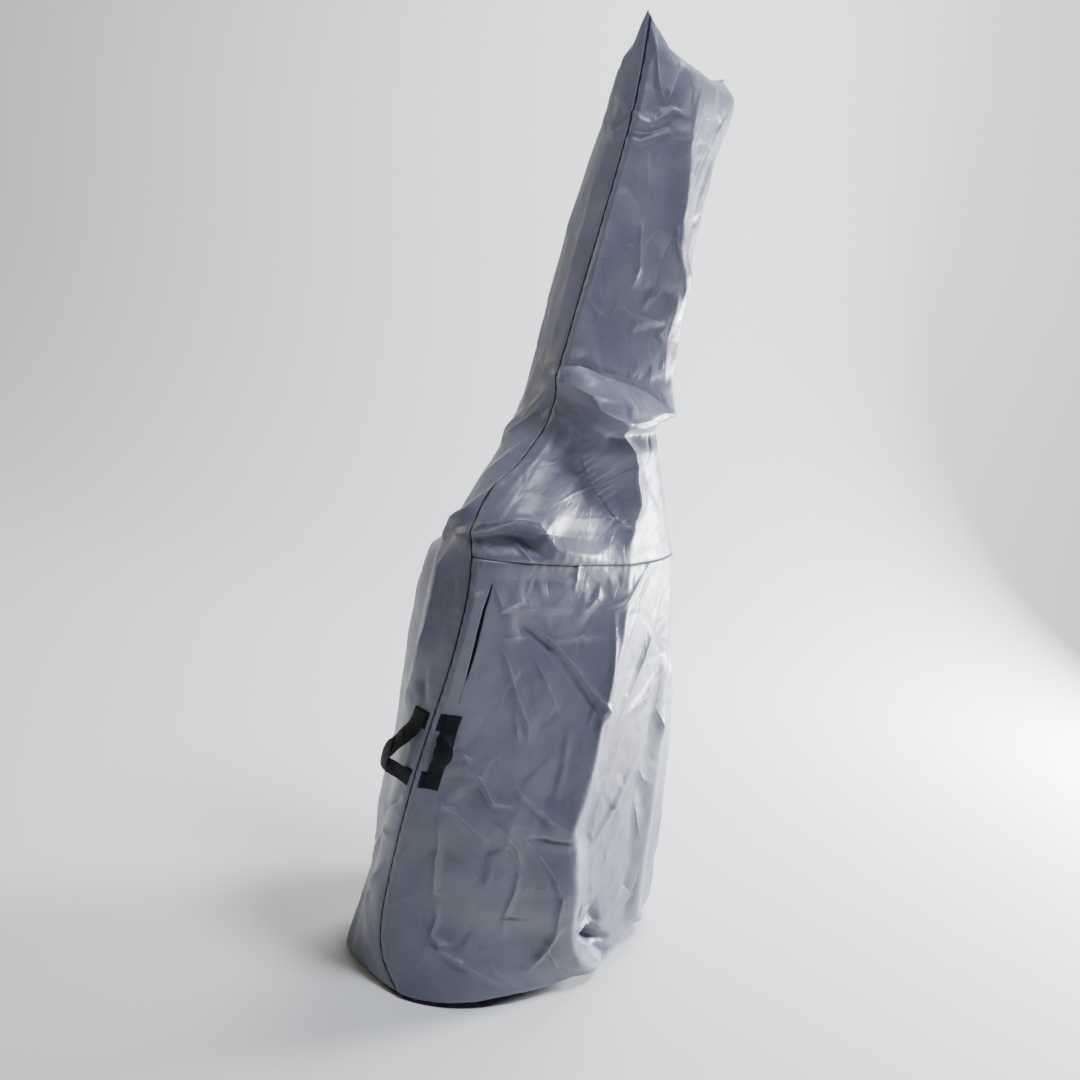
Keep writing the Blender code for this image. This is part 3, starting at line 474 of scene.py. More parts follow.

# %% [markdown]
# ## Creases at random, and crests for a painted highlight
# The hidden sides get creases of the same kind at random. A fixed seed makes every run draw the
# same ones. Along sharp crests the shader paints a pale highlight line, so each point of the cloth
# is also told how far the nearest crest is and how strong it is there, for the shader to read.

# %% Random creases and crest marks
def scattered_creases(seed, count, distances, heights):
    """Creases at random, for the sides away from the handles, where no clear ones are known."""
    rng = random.Random(seed)
    rows = []
    for number in range(count):
        s, h = rng.uniform(*distances), rng.uniform(*heights)
        angle, half = rng.choice((-1.0, 1.0)) * rng.gauss(1.15, 0.35), 0.5 * rng.uniform(0.09, 0.24)
        ds, dh = half * math.cos(angle), half * math.sin(angle)
        rise, bend = rng.choice((-0.7, 1.0)) * rng.uniform(0.003, 0.0055), rng.gauss(0.0, 0.012)
        route = ((s - ds, h - dh, 0.0), (s + bend, h, rise), (s + ds, h + dh, 0.0))
        rows.append((f"back crease {number}", 0.030, 0.022, 0.85, route))
    return tuple(rows)


for seed, count, distances, heights in (
    (21, 26, (-1.02, -0.30), (0.08, 1.02)), (22, 7, (-0.40, -0.14), (1.20, 1.95)),
    (23, 9, (0.68, 1.00), (0.10, 0.90)),
):
    CREASES += scattered_creases(seed, count, distances, heights)
CREASES = with_smooth_routes(CREASES, ("arch", "ledge"))
CREASE_POWER, LOW_CREASE_GAIN = 1.15, 1.6
CREST_SHARP, CREST_FULL, CREST_REACH = 0.75, 0.0045, 0.006


def crest_marks(distance, height):
    """Signed gap to the nearest sharp crease, and how strong that crease is there, from 0 to 1."""
    best = np.ones_like(distance)
    strength = np.zeros_like(distance)
    for _, _, _, sharpness, route in CREASES:
        if sharpness < CREST_SHARP:
            continue
        for gap, over, top in stretches(route, distance, height):
            closer = gap < np.abs(best)
            strength = np.where(closer, np.clip(top / CREST_FULL, -1.0, 1.0), strength)
            best = np.where(closer, np.where(over, gap, -gap), best)
    return best, strength * np.clip(2.0 - np.abs(best) / CREST_REACH, 0.0, 1.0)


print(len(CREASES), "creases")

# %% [markdown]
# ## Crumples
# Coated nylon that was packed away keeps flat facets with crisp edges between them. A net of
# triangles over random points gives that: each triangle is a flat facet, and random straight
# creases are laid into the net first, so that some edges run on across many facets. The net is
# drawn on the flat cloth, and a ray cast down onto it reads its height anywhere.

# %% Crumple net
def crumple_net(seed, spacing, swing, creases, crease_length, crease_rise):
    """A faceted height field over the cloth, as a tree to cast rays at."""
    rng = random.Random(seed)
    low_s, high_s, low_h, high_h = -1.30, 1.30, -0.10, 2.20
    verts, heights, edges = [], [], []
    for s in (low_s, high_s):
        for h in (low_h, high_h):
            verts.append(Vector((s, h)))
            heights.append(0.0)
    for _ in range(creases):
        s, h = rng.uniform(low_s + 0.2, high_s - 0.2), rng.uniform(low_h + 0.1, high_h - 0.1)
        angle = rng.choice((rng.gauss(1.45, 0.35), rng.uniform(0.0, math.pi)))
        length = crease_length * rng.uniform(0.4, 1.6)
        rise = crease_rise * rng.choice((-1.0, 1.0)) * rng.uniform(0.4, 1.0)
        first = len(verts)
        for k, share in enumerate((-0.5, 0.0, 0.5)):
            bend = rng.gauss(0.0, 0.04) * length
            verts.append(Vector((
                s + share * length * math.cos(angle) - bend * math.sin(angle),
                h + share * length * math.sin(angle) + bend * math.cos(angle))))
            heights.append(rise if k == 1 else 0.0)
        edges += [(first, first + 1), (first + 1, first + 2)]
    count = int((high_s - low_s) * (high_h - low_h) / spacing ** 2)
    for _ in range(count):
        verts.append(Vector((rng.uniform(low_s, high_s), rng.uniform(low_h, high_h))))
        heights.append(rng.gauss(0.0, swing))
    out, _, faces, source, _, _ = delaunay_2d_cdt(verts, edges, [], 0, 1e-6)
    placed = []
    for point, origin in zip(out, source):
        placed.append((point.x, point.y, heights[origin[0]] if origin else 0.0))
    return BVHTree.FromPolygons(placed, [tuple(face) for face in faces])


def net_heights(tree, distance, height):
    down = Vector((0.0, 0.0, -1.0))
    flat = [tree.ray_cast(Vector((s, h, 1.0)), down)[0] for s, h in zip(distance.ravel(), height.ravel())]
    return np.array([point.z if point else 0.0 for point in flat]).reshape(distance.shape)


BROAD_NET = crumple_net(4, 0.075, 0.0015, 190, 0.20, 0.0042)
FINE_NET = crumple_net(9, 0.028, 0.00060, 520, 0.070, 0.0018)
print("crumple nets ready")

# %% [markdown]
# ## Placing a grid of cloth
# A panel is a grid of points. Its rows are heights and its columns are distances from the seam.
# The grid is placed on the outline first, and the folds and the crumples then lift it along its
# own outward direction, so that a fold on a curved side still stands square to the cloth.

# %% Cloth surface
SEAM_FADE = 0.040
NEAR_EAR, FAR_EAR = (0.060, 0.130), (0.030, 0.120)
EAR_SHAPE, EAR_FOOT, EAR_GROWTH = 1.5, 1.990, 1.5
CROWN_RIDGE, CROWN_APART, PINCH_FROM = -0.091, 0.0004, 2.055
HEM_LIFT = np.array((
    (-1.20, 0.0), (0.05, 0.0), (0.25, 0.014), (0.50, 0.016),
    (0.65, 0.022), (0.80, 0.038), (1.00, 0.022), (1.20, 0.0),
))
HEM_REACH = 0.25
EDGE_STEP = 0.004


def outward(points, heights, side):
    """Directions square to a grid of points, away from the case."""
    up_way = np.gradient(points, heights, axis=0)
    along = np.gradient(points, axis=1)
    normals = np.cross(along, up_way) * side
    return normals / np.maximum(np.linalg.norm(normals, axis=-1, keepdims=True), 1e-12)


def ear_lift(y, near, far, height):
    """The crown is higher at its two corners, which stand up as ears."""
    grow = np.clip((height - EAR_FOOT) / (CROWN - EAR_FOOT), 0.0, 1.0) ** EAR_GROWTH
    lift = 0.0
    for (rise, reach), gap in ((NEAR_EAR, y - near), (FAR_EAR, far - y)):
        lift = lift + rise * np.clip(1.0 - gap / reach, 0.0, 1.0) ** EAR_SHAPE
    return grow * lift


def cloth(side, heights, distance_of, detail=None):
    """Points, outward directions, and distances of a grid of cloth on one side of the near seam."""
    heights = np.concatenate(([heights[0] - EDGE_STEP], heights, [heights[-1] + EDGE_STEP]))
    rows = []
    for height in heights:
        row, loop, arc, start, lengths = girth(height)
        distance = np.asarray(distance_of(height, lengths[side]))

        def place(spot):
            at = np.mod(start + side * spot, arc[-1])
            return np.stack([np.interp(at, arc, loop[:, 0]), np.interp(at, arc, loop[:, 1])], -1)

        plan = draw_taut(place, side, height, distance)
        z = height + ear_lift(plan[:, 1], row["near"], row["far"], height)
        rows.append((np.concatenate([plan, z[:, None]], -1), distance * side, lengths[side] - distance))
    points, along, left = (np.array(part) for part in zip(*rows))
    level = np.repeat(heights[:, None], points.shape[1], 1)
    rise = fold_rise(along, level, SMOOTH_FOLDS, FOLD_POWER)
    if detail is not None:
        rise += detail(along, level)
    fade = np.clip(left / SEAM_FADE, 0.0, 1.0)
    points = points + outward(points, heights, side) * (rise * fade)[..., None]
    ridge = CROWN_RIDGE + side * CROWN_APART
    outside = np.maximum(points[..., 0], ridge) if side > 0 else np.minimum(points[..., 0], ridge)
    points[..., 0] = np.where(level > PINCH_FROM, outside, points[..., 0])
    hem = np.interp(along, HEM_LIFT[:, 0], HEM_LIFT[:, 1])
    points[..., 2] += hem * np.clip(1.0 - level / HEM_REACH, 0.0, 1.0) ** 2
    normals = outward(points, heights, side)
    return points[1:-1] - HELD_AT, normals[1:-1], along[1:-1], level[1:-1]


print("the hem rises by up to", HEM_LIFT[:, 1].max(), "m")

# %% [markdown]
# ## What the maker adds to the cloth
# A sewn seam pulls the cloth in along its thread and leaves small puckers beside it. The slit and the
# hem are turned and stitched; the hem shows as a slightly thicker band, which the sheets are given
# further on. The seams are added as one more height field, beside the crumples.

# %% Seams and small detail
GROOVE_DEPTH, CROSS_DEPTH = 0.0016, 0.0013
PUCKER_RISE, PUCKER_PITCH = 0.0011, 0.031
WAVE_RISE, WAVE_PITCH = 0.0004, 0.027
CALM_SHARE, CALM_SPOT, CALM_REACH = 0.88, (0.21, 1.12), (0.21, 0.12)
LOW_PART = (0.80, 0.95)


def puckers(along, gap, rise, pitch, shift, sway, reach, phase=0.0):
    """Waves along a seam at uneven steps, which die away beside it."""
    wave = rise * np.sin(2 * math.pi * (along + shift * np.sin(sway * along)) / pitch + phase)
    return wave * np.exp(-gap / reach) * np.clip(gap / 0.004, 0.0, 1.0)


def seam_pull(distance, height):
    """The groove of both visible seams, with puckers beside them."""
    gap, lower = np.abs(distance), np.abs(height - CROSS_SEAM)
    side = -GROOVE_DEPTH * np.exp(-((gap / 0.005) ** 2))
    side += puckers(height, gap, PUCKER_RISE, PUCKER_PITCH, 0.006, 37.0, 0.014, 1.5 * np.sign(distance))
    cross = -CROSS_DEPTH * np.exp(-((lower / 0.004) ** 2))
    cross += puckers(distance, lower, WAVE_RISE, WAVE_PITCH, 0.008, 29.0, 0.013)
    return side + np.clip(distance / 0.004, 0.0, 1.0) * cross


def detail(distance, height):
    """Crumples and seams together."""
    still = np.clip(np.abs(distance) / 0.020, 0.15, 1.0)
    spot = sum(((v - at) / reach) ** 2 for v, at, reach in zip((distance, height), CALM_SPOT, CALM_REACH))
    crumple = net_heights(BROAD_NET, distance, height) + net_heights(FINE_NET, distance, height)
    crumple *= (1.0 - CALM_SHARE * np.exp(-spot)) * still
    gain = np.interp(height, LOW_PART, (LOW_CREASE_GAIN, 1.0))
    return crumple + fold_rise(distance, height, CREASES, CREASE_POWER) * gain + seam_pull(distance, height)


print("grooves", GROOVE_DEPTH, "and", CROSS_DEPTH, "m deep")

# %% [markdown]
# ## Sheets with a real thickness
# The cloth is closed round its edge, so that the hem and the slit show an edge and the mesh is a
# proper solid sheet. The outside grid is copied inwards and the two are joined along every rim.
# A UV map in real metres lets the weave follow the cloth.

# %% Sheet builder
def new_object(name, vertices, faces, edges=()):
    mesh = bpy.data.meshes.new(name)
    mesh.from_pydata(np.asarray(vertices).tolist(), edges, faces)
    mesh.validate()
    thing = bpy.data.objects.new(name, mesh)
    bpy.context.scene.collection.objects.link(thing)
    return thing


def finish_skin(thing):
    """All faces of a closed mesh turned outwards and shaded smooth."""
    work = bmesh.new()
    work.from_mesh(thing.data)
    bmesh.ops.recalc_face_normals(work, faces=work.faces)
    work.to_mesh(thing.data)
    work.free()
    thing.data.shade_smooth()


def closed_sheet(name, points, normals, along, level, thickness, holes=None):
    """Closed sheet whose outside is the grid, with some cells left out."""
    rows, across = points.shape[:2]
    kept = np.ones((rows - 1, across - 1), bool) if holes is None else ~holes
    inside = points - normals * np.broadcast_to(thickness, level.shape)[..., None]
    vertices = np.concatenate([points.reshape(-1, 3), inside.reshape(-1, 3)])
    back = rows * across
    i, j = np.nonzero(kept)
    a = i * across + j
    b, c, d = a + 1, a + across + 1, a + across
    front = np.stack([a, b, c, d], -1)
    faces = [front, front[:, ::-1] + back]
    padded = np.zeros((rows + 1, across + 1), bool)
    padded[1:-1, 1:-1] = kept
    for gone, p, q in (
        (~padded[i, j + 1], a, b), (~padded[i + 1, j + 2], b, c),
        (~padded[i + 2, j + 1], c, d), (~padded[i + 1, j], d, a),
    ):
        p, q = p[gone], q[gone]
        faces.append(np.stack([q, p, back + p, back + q], -1))
    faces = np.concatenate(faces)
    used, place = np.unique(faces, return_inverse=True)
    faces = place.reshape(faces.shape)
    thing = new_object(name, vertices[used], faces.tolist())
    finish_skin(thing)
    maps = np.stack([np.tile(along.ravel(), 2), np.tile(level.ravel(), 2)], -1)[used]
    layer = thing.data.uv_layers.new(name="cloth")
    corner = np.empty(len(thing.data.loops), np.int32)
    thing.data.loops.foreach_get("vertex_index", corner)
    layer.uv.foreach_set("vector", maps[corner].ravel())
    for label, values in zip(("crest gap", "crest strength"), crest_marks(along, level)):
        layer = thing.data.attributes.new(label, "FLOAT", "POINT")
        layer.data.foreach_set("value", np.tile(values.ravel(), 2)[used])
    return thing


print("sheet builder ready")

# %% [markdown]
# ## The grid of a panel
# More columns are spent where folds are sharp, near the visible seam, and fewer on the far side.
# Along the slit, two columns are drawn apart by its width and the cells between them are left out.

# %% Panel grids
SLIT = np.array(((0.724, 0.049), (0.795, 0.048), (0.883, 0.047), (0.940, 0.058)))
SLIT_HALF, SLIT_TIP, SLIT_FADE = 0.0041, 0.0003, 0.120
CLOTH_THICK, HEM_THICK, HEM_BAND = 0.0005, 0.0016, 0.014
RIM_AT, CLOSE_SHARE, BEYOND_ALL, SLIT_AT = 0.0009, 0.75, 9.0, 0.050


def slit_half(height):
    """Half the width of the slit, which narrows to both ends."""
    share = np.clip((height - SLIT[0, 0]) / (SLIT[-1, 0] - SLIT[0, 0]), 0.0, 1.0)
    return SLIT_TIP + (SLIT_HALF - SLIT_TIP) * (4.0 * share * (1.0 - share)) ** 0.6


def columns_for(side, count_at, near_reach, near_step, far_step, slit=False):
    """Function that gives the distances of a panel's columns at a height, and the slit's column."""
    longest = girth(count_at)[4][side]
    close = np.linspace(RIM_AT, near_reach, int(near_reach / near_step))
    t = np.linspace(0.0, 1.0, int((longest - near_reach) / far_step) + 1)[1:]
    base = np.concatenate((close, near_reach + (longest - RIM_AT - near_reach) * t))
    share = (base - near_reach) / (longest - RIM_AT - near_reach)
    slit_column = int(np.searchsorted(base, SLIT_AT))

    def distances(height, length):
        reach = min(near_reach, CLOSE_SHARE * length)
        opened = reach + share * (length - RIM_AT - reach)
        out = np.where(base <= near_reach, base * reach / near_reach, opened)
        if not slit:
            return out
        centre, half = np.interp(height, *SLIT.T), float(slit_half(height))
        knots = (0.0, base[slit_column], base[slit_column + 1], SLIT_FADE, BEYOND_ALL)
        return np.interp(out, knots, (0.0, centre - half, centre + half, SLIT_FADE, BEYOND_ALL))

    return distances, slit_column


def row_heights(first, *spans):
    """Heights of rows, from the first height and spans of (end, step)."""
    heights = [first]
    for end, step in spans:
        steps = max(1, round((end - heights[-1]) / step))
        heights += list(np.linspace(heights[-1], end, steps + 1)[1:])
    return np.array(heights)


def make_panel(name, side, heights, distances, slit_column=None):
    points, normals, along, level = cloth(side, heights, distances, detail)
    holes = None
    if slit_column is not None:
        middle = 0.5 * (heights[:-1] + heights[1:])
        holes = np.zeros((len(heights) - 1, points.shape[1] - 1), bool)
        holes[(middle > SLIT[0, 0]) & (middle < SLIT[-1, 0]), slit_column] = True
    thickness = np.where(level < HEM_BAND, HEM_THICK, CLOTH_THICK)
    panel = closed_sheet(name, points, normals, along, level, thickness, holes)
    print(name, sum(len(p.vertices) - 2 for p in panel.data.polygons), "triangles")
    return panel


print("slit", round(SLIT[-1, 0] - SLIT[0, 0], 3), "m long")

# %% [markdown]
# ## The three panels
# The cover is sewn from three pieces of cloth: one round the hidden side, and two on the side that
# shows, above and below the cross seam. Rows lie closest where the folds are small, on the
# shoulder and at the crown, and the hem has rows of its own for its turned edge.

# %% Left panel
left_columns, _ = columns_for(-1, 0.3, 0.34, 0.0042, 0.0135)
left_rows = row_heights(
    0.0, (HEM_BAND, 0.0047), (0.96, 0.0072), (1.42, 0.0052), (1.96, 0.0068), (CROWN, 0.0045))
left_panel = make_panel("left_cloth", -1, left_rows, left_columns)

# %% Right upper panel
upper_columns, _ = columns_for(1, 1.0, 0.44, 0.0036, 0.0085)
upper_rows = row_heights(CROSS_SEAM + SEAM_HALF_GAP, (1.42, 0.0036), (1.90, 0.0052), (CROWN, 0.0036))
upper_panel = make_panel("right_upper_cloth", 1, upper_rows, upper_columns)

# %% Right lower panel
lower_columns, slit_at = columns_for(1, 0.3, 0.64, 0.0042, 0.0100, slit=True)
lower_rows = row_heights(
    0.0, (HEM_BAND, 0.0047), (SLIT[0, 0], 0.0048), (SLIT[-1, 0], 0.0045),
    (CROSS_SEAM - SEAM_HALF_GAP, 0.0042))
lower_panel = make_panel("right_lower_cloth", 1, lower_rows, lower_columns, slit_at)

# %% [markdown]
# ## Reading the cloth anywhere
# The straps, the tape and the stitches all lie on the cloth, so they need its place and its
# outward direction at any spot. A patch of cloth is worked out once on an even grid, and the
# function that is handed back reads between its points, as one reads between lines on a ruler.

# %% Cloth reader
def cloth_reader(side, low_s, high_s, low_h, high_h, step):
    """Function of (distance, height) that gives points and outward directions of a patch of cloth."""
    spots, heights = (np.linspace(low, high, int((high - low) / step) + 2)
                      for low, high in ((low_s, high_s), (low_h, high_h)))
    points, normals, _, _ = cloth(side, heights, lambda height, length: spots, detail)

    def read(distance, height):
        distance, height = np.broadcast_arrays(np.abs(distance), height)
        row = np.interp(height, heights, np.arange(len(heights)))
        column = np.interp(distance, spots, np.arange(len(spots)))
        i = np.minimum(row.astype(int), len(heights) - 2)
        j = np.minimum(column.astype(int), len(spots) - 2)
        a, b = (row - i)[..., None], (column - j)[..., None]

        def mix(grid):
            low_row = grid[i, j] * (1 - b) + grid[i, j + 1] * b
            return low_row * (1 - a) + (grid[i + 1, j] * (1 - b) + grid[i + 1, j + 1] * b) * a

        out = mix(normals)
        return mix(points), out / np.linalg.norm(out, axis=-1, keepdims=True)

    return read


read_right = cloth_reader(1, 0.0, 0.11, 0.44, 1.03, 0.0035)
read_left = cloth_reader(-1, 0.0, 0.10, 0.43, 0.66, 0.0035)
print("cloth beside the seam can be read on both sides")

# %% [markdown]
# ## Side seams
# Where the two halves of the bag are joined, the raw edges are wrapped in a narrow dark binding.
# It is a half-round bead that follows the seam. Its direction across is taken from the cloth on
# both sides, so that it sits level between the two panels all the way up to the ear.

# %% Seam binding
BEAD_HALF = ((0.0, 0.0015), (1.88, 0.0015), (1.95, 0.0022), (2.1, 0.0022))
BEAD_HIGH, BEAD_LOW, BEAD_SIDES = 0.0013, -0.0003, 7
SEAM_SPOTS = np.array((0.0, 0.004, 0.008))


def seam_line(which, heights):
    """Centre, outward and across directions along a side seam."""
    def distances(height, length):
        return SEAM_SPOTS if which == "near" else length - SEAM_SPOTS

    sides = {side: cloth(side, heights, distances, detail)[0] for side in (1, -1)}
    centre = 0.5 * (sides[1][:, 0] + sides[-1][:, 0])
    across = sides[1][:, 1] - sides[-1][:, 1]
    across /= np.linalg.norm(across, axis=1, keepdims=True)
    up_way = np.gradient(centre, axis=0)
    up_way /= np.linalg.norm(up_way, axis=1, keepdims=True)
    out = np.cross(across, up_way)
    return centre, out / np.linalg.norm(out, axis=1, keepdims=True), across


def seam_bead(name, which, heights):
    centre, out, across = seam_line(which, heights)
    half = np.interp(heights, *np.array(BEAD_HALF).T)[:, None]
    turn = np.linspace(0.0, math.pi, BEAD_SIDES)
    rings = np.stack([
        centre + across * half * math.cos(a) + out * (BEAD_LOW + (BEAD_HIGH - BEAD_LOW) * math.sin(a) ** 0.8)
        for a in turn], 1)
    count, around = rings.shape[:2]
    faces = [tuple(range(around)), tuple(range((count - 1) * around, count * around))[::-1]]
    for i in range(count - 1):
        for k in range(around):
            a, b = i * around + k, i * around + (k + 1) % around
            faces.append((a, a + around, b + around, b))
    bead = new_object(name, rings.reshape(-1, 3), faces)
    finish_skin(bead)
    print(name, len(bead.data.polygons), "faces")
    return bead


seam_heights = row_heights(0.0, (0.96, 0.006), (1.42, 0.005), (1.96, 0.006), (CROWN - 0.001, 0.004))
near_bead = seam_bead("near_seam_tape", "near", seam_heights)
far_bead = seam_bead("far_seam_tape", "far", seam_heights)

# %% [markdown]
# ## The dark strip behind the slit
# The slit lets the handle of the case be reached. Just under it a strip of near-black tape is held
# as painted shade: it stands for the dark gap of the opening, where the hidden case lies in shadow.
# The strip is a small sheet of its own, held just under the cloth.

# %% Slit strip of painted shade
SHADE_STRIP_HALF, SHADE_STRIP_BACK, SHADE_STRIP_THICK = 0.014, 0.0024, 0.0008


def slit_tape():
    heights = np.linspace(SLIT[0, 0] - 0.018, SLIT[-1, 0] + 0.009, 60)
    across = np.linspace(-SHADE_STRIP_HALF, SHADE_STRIP_HALF, 11)
    distance = np.interp(heights, SLIT[:, 0], SLIT[:, 1])[:, None] + across
    level = np.repeat(heights[:, None], len(across), 1)
    points, normals = read_right(distance, level)
    # A near-black sheet just under the slit: painted shade for the dark gap of the opening.
    return closed_sheet("slit_shade_backing", points - normals * SHADE_STRIP_BACK, normals, distance, level, SHADE_STRIP_THICK)


slit_shade_backing = slit_tape()
print("slit tape", len(slit_shade_backing.data.polygons), "faces")

# %% [markdown]
# ## Carrying straps
# Beside the seam two short straps of webbing are sewn on, so that the covered case can be gripped
# through them. Each strap has a tab at both ends, flat on the cloth, and folds over to run up the
# cloth between them, standing off it. A piece of strap is a path on the cloth with a distance
# away from it at each point, and its flat width laid square to the path. Ends may be cut slanting,
# which is how webbing looks where it is folded over at a right angle.

# %% Straps
STRAP_HALF, STRAP_THICK, STRAP_SEAT, STRAP_STEP = 0.0195, 0.0016, 0.0005, 0.0028
TINY = 1e-4


def strap_piece(name, read, path, half=STRAP_HALF, slant=(0.0, 0.0), cup=0.0):
    """Sheet of webbing along rows of (distance, height, away from the cloth) in millimetres."""
    path = np.array(path) / 1000
    run = run_along(path)
    width = np.linspace(-half, half, 15)
    share = np.linspace(0.0, 1.0, max(3, int(run[-1] / STRAP_STEP)))[:, None]
    begin, end = slant[0] * (width + half), run[-1] - slant[1] * (width + half)
    t = begin + share * (end - begin)
    s, h, away = (smooth_interp(t, run, path[:, k]) for k in range(3))
    ds, dh = (smooth_interp(t + TINY, run, way) - smooth_interp(t - TINY, run, way) for way in path.T[:2])
    size = np.maximum(np.hypot(ds, dh), 1e-9)
    points, normals = read(s + width * dh / size, h - width * ds / size)
    lift = STRAP_SEAT + STRAP_THICK + away - cup * (width / half) ** 2 * np.clip(away / 0.01, 0.0, 1.0)
    points = points + normals * lift[..., None]
    own = np.cross(np.gradient(points, axis=1), np.gradient(points, axis=0))
    own /= np.linalg.norm(own, axis=-1, keepdims=True)
    own *= np.sign((own * normals).sum(-1, keepdims=True))
    across = np.repeat(width[None, :], len(share), 0)
    return closed_sheet(name, points, own, across, t, STRAP_THICK)


def join_pieces(name, things):
    whole = bmesh.new()
    for thing in things:
        whole.from_mesh(thing.data)
    whole.to_mesh(things[0].data)
    whole.free()
    for thing in things[1:]:
        bpy.data.objects.remove(thing, do_unlink=True)
    things[0].name = things[0].data.name = name
    print(name, len(things[0].data.polygons), "faces")
    return things[0]


RIGHT_TABS, RIGHT_RUN = (486.5, 625.5), 49
RIGHT_STAND = (
    (467, 2), (509, 2.6), (523, 8), (539, 17), (557, 22), (575, 21), (591, 13), (605, 3.6), (645, 2))
right_strap = join_pieces("right_strap", [
    *(strap_piece("tab", read_right, [(s, height, 0) for s in (17, 42, 68.5)]) for height in RIGHT_TABS),
    strap_piece("run", read_right, [(RIGHT_RUN, *row) for row in RIGHT_STAND], slant=(1.0, 1.0), cup=0.0016),
])
left_strap = join_pieces("left_strap", [
    strap_piece("low", read_left, (
        (-11, 477.5, 0), (-26, 479.5, 3), (-44, 485, 19), (-58, 491, 32), (-76, 499, 36))),
    strap_piece("run", read_left, (
        (-58, 479, 37.2), (-59.5, 498, 39), (-59, 512, 39), (-55, 530, 36), (-49, 552, 27.5), (-42, 574, 17),
        (-36.5, 594, 8.5), (-34.5, 616.5, 4), (-34.5, 636, 3)), cup=0.0012),
    strap_piece("high", read_left, ((-54, 616.5, 1), (-32, 616.5, 0), (-11, 616.5, 0))),
])

# %% [markdown]
# ## Helpers for nodes and colours
# A node tree made in a script reads best when each node is one line: its kind, what goes into it
# and its settings. Colours are written as on a paint card, in sRGB, and Blender's shaders count in
# linear light, so one function turns the first into the second.

# %% Node helper and colours
def add_node(tree, kind, inputs=None, **settings):
    """One node, with its settings and with values or links for its inputs."""
    node = tree.nodes.new(kind)
    for name, value in settings.items():
        setattr(node, name, value)
    for name, value in (inputs or {}).items():
        if isinstance(value, bpy.types.NodeSocket):
            tree.links.new(value, node.inputs[name])
        else:
            node.inputs[name].default_value = value
    return node


def maths(tree, operation, one, other=0.5):
    """Result of a sum in the node tree."""
    return add_node(tree, "ShaderNodeMath", {0: one, 1: other}, operation=operation).outputs["Value"]


def hex_colour(code):
    """A paint card's sRGB code as linear light."""
    parts = [int(code[i:i + 2], 16) / 255 for i in (1, 3, 5)]
    return (*(c / 12.92 if c <= 0.04045 else ((c + 0.055) / 1.055) ** 2.4 for c in parts), 1.0)


# The third colour is a pale grey, used for the worn fold lines and as a painted highlight along crests.
NYLON_GREY, NYLON_PALE, NYLON_WEAR_AND_HIGHLIGHT = "#68697b", "#727484", "#9092a0"
print("nylon in linear light", [round(v, 3) for v in hex_colour(NYLON_GREY)])

# %% [markdown]
# ## Coated nylon
# The cloth is thin taffeta with a coating: plain weave, a low sheen, and fine crinkles between the
# folds. The UV map is in metres, so each pattern is scaled by its real size. Threads of a quarter
# of a millimetre would only flicker at this distance, and the weave is drawn three times coarser.

# %% Nylon material
WEAVE_PERIOD = 0.0008
WAVE_UNIT = 2 * math.pi / 20   # a wave texture of this scale repeats once a metre
FOLD_STRETCH = (1.5, 0.8, 1.0)


def new_material(name):
    """A material, its node tree and its shader."""
    material = bpy.data.materials.new(name)
    material.use_nodes = True
    tree = material.node_tree
    return material, tree, tree.nodes["Principled BSDF"]


def cloth_map(tree):
    return add_node(tree, "ShaderNodeUVMap", uv_map="cloth").outputs["UV"]


def noise(tree, where, size, rough=0.5, octaves=3.0, kind="FBM", bend=0.0):
    return add_node(tree, "ShaderNodeTexNoise", {
        "Vector": where, "Scale": 1.0 / size, "Detail": octaves, "Roughness": rough, "Distortion": bend},
        noise_dimensions="2D", noise_type=kind).outputs["Fac"]


def ramp(tree, value, low, high, out_low, out_high):
    return add_node(tree, "ShaderNodeMapRange", {
        "Value": value, "From Min": low, "From Max": high, "To Min": out_low, "To Max": out_high,
    }).outputs["Result"]


def wave(tree, where, period, way, bend=0.0):
    """Bands across one direction. Period is the real distance from one band to the next."""
    return add_node(tree, "ShaderNodeTexWave", {
        "Vector": where, "Scale": WAVE_UNIT / period, "Distortion": bend}, bands_direction=way).outputs["Fac"]


def bump(tree, height, depth, strength, before=None):
    inputs = {"Height": height, "Distance": depth, "Strength": strength}
    if before is not None:
        inputs["Normal"] = before
    return add_node(tree, "ShaderNodeBump", inputs).outputs["Normal"]


def blend(tree, share, one, other):
    return add_node(tree, "ShaderNodeMix", {0: share, 6: one, 7: other}, data_type="RGBA").outputs[2]


def fold_lines(tree, where, size, width):
    """Thin broken lines of old folds: the borders of cells, kept only in patches."""
    drawn = add_node(tree, "ShaderNodeVectorMath", {0: where, 1: FOLD_STRETCH}, operation="MULTIPLY")
    cells = add_node(tree, "ShaderNodeTexVoronoi", {
        "Vector": drawn.outputs["Vector"], "Scale": 1.0 / size, "Randomness": 1.0},
        voronoi_dimensions="2D", feature="DISTANCE_TO_EDGE")
    line = ramp(tree, cells.outputs["Distance"], 0.0, width / size, 1.0, 0.0)
    return maths(tree, "MULTIPLY", line, ramp(tree, noise(tree, where, 0.6 * size), 0.52, 0.64, 0.0, 1.0))


print("shader helpers ready")

# %% [markdown]
# ## The look of the nylon
# Along the crests of sharp raised creases a thin pale line is painted as a highlight, where light
# would catch the crest. The mesh carries two numbers for that: how far the nearest crease is, and
# how strong it is. The shader turns them into this painted highlight line and a small bump ridge,
# sharper than the mesh itself could be.

# %% Nylon
def socket_of(tree, label):
    return add_node(tree, "ShaderNodeAttribute", attribute_name=label).outputs["Fac"]


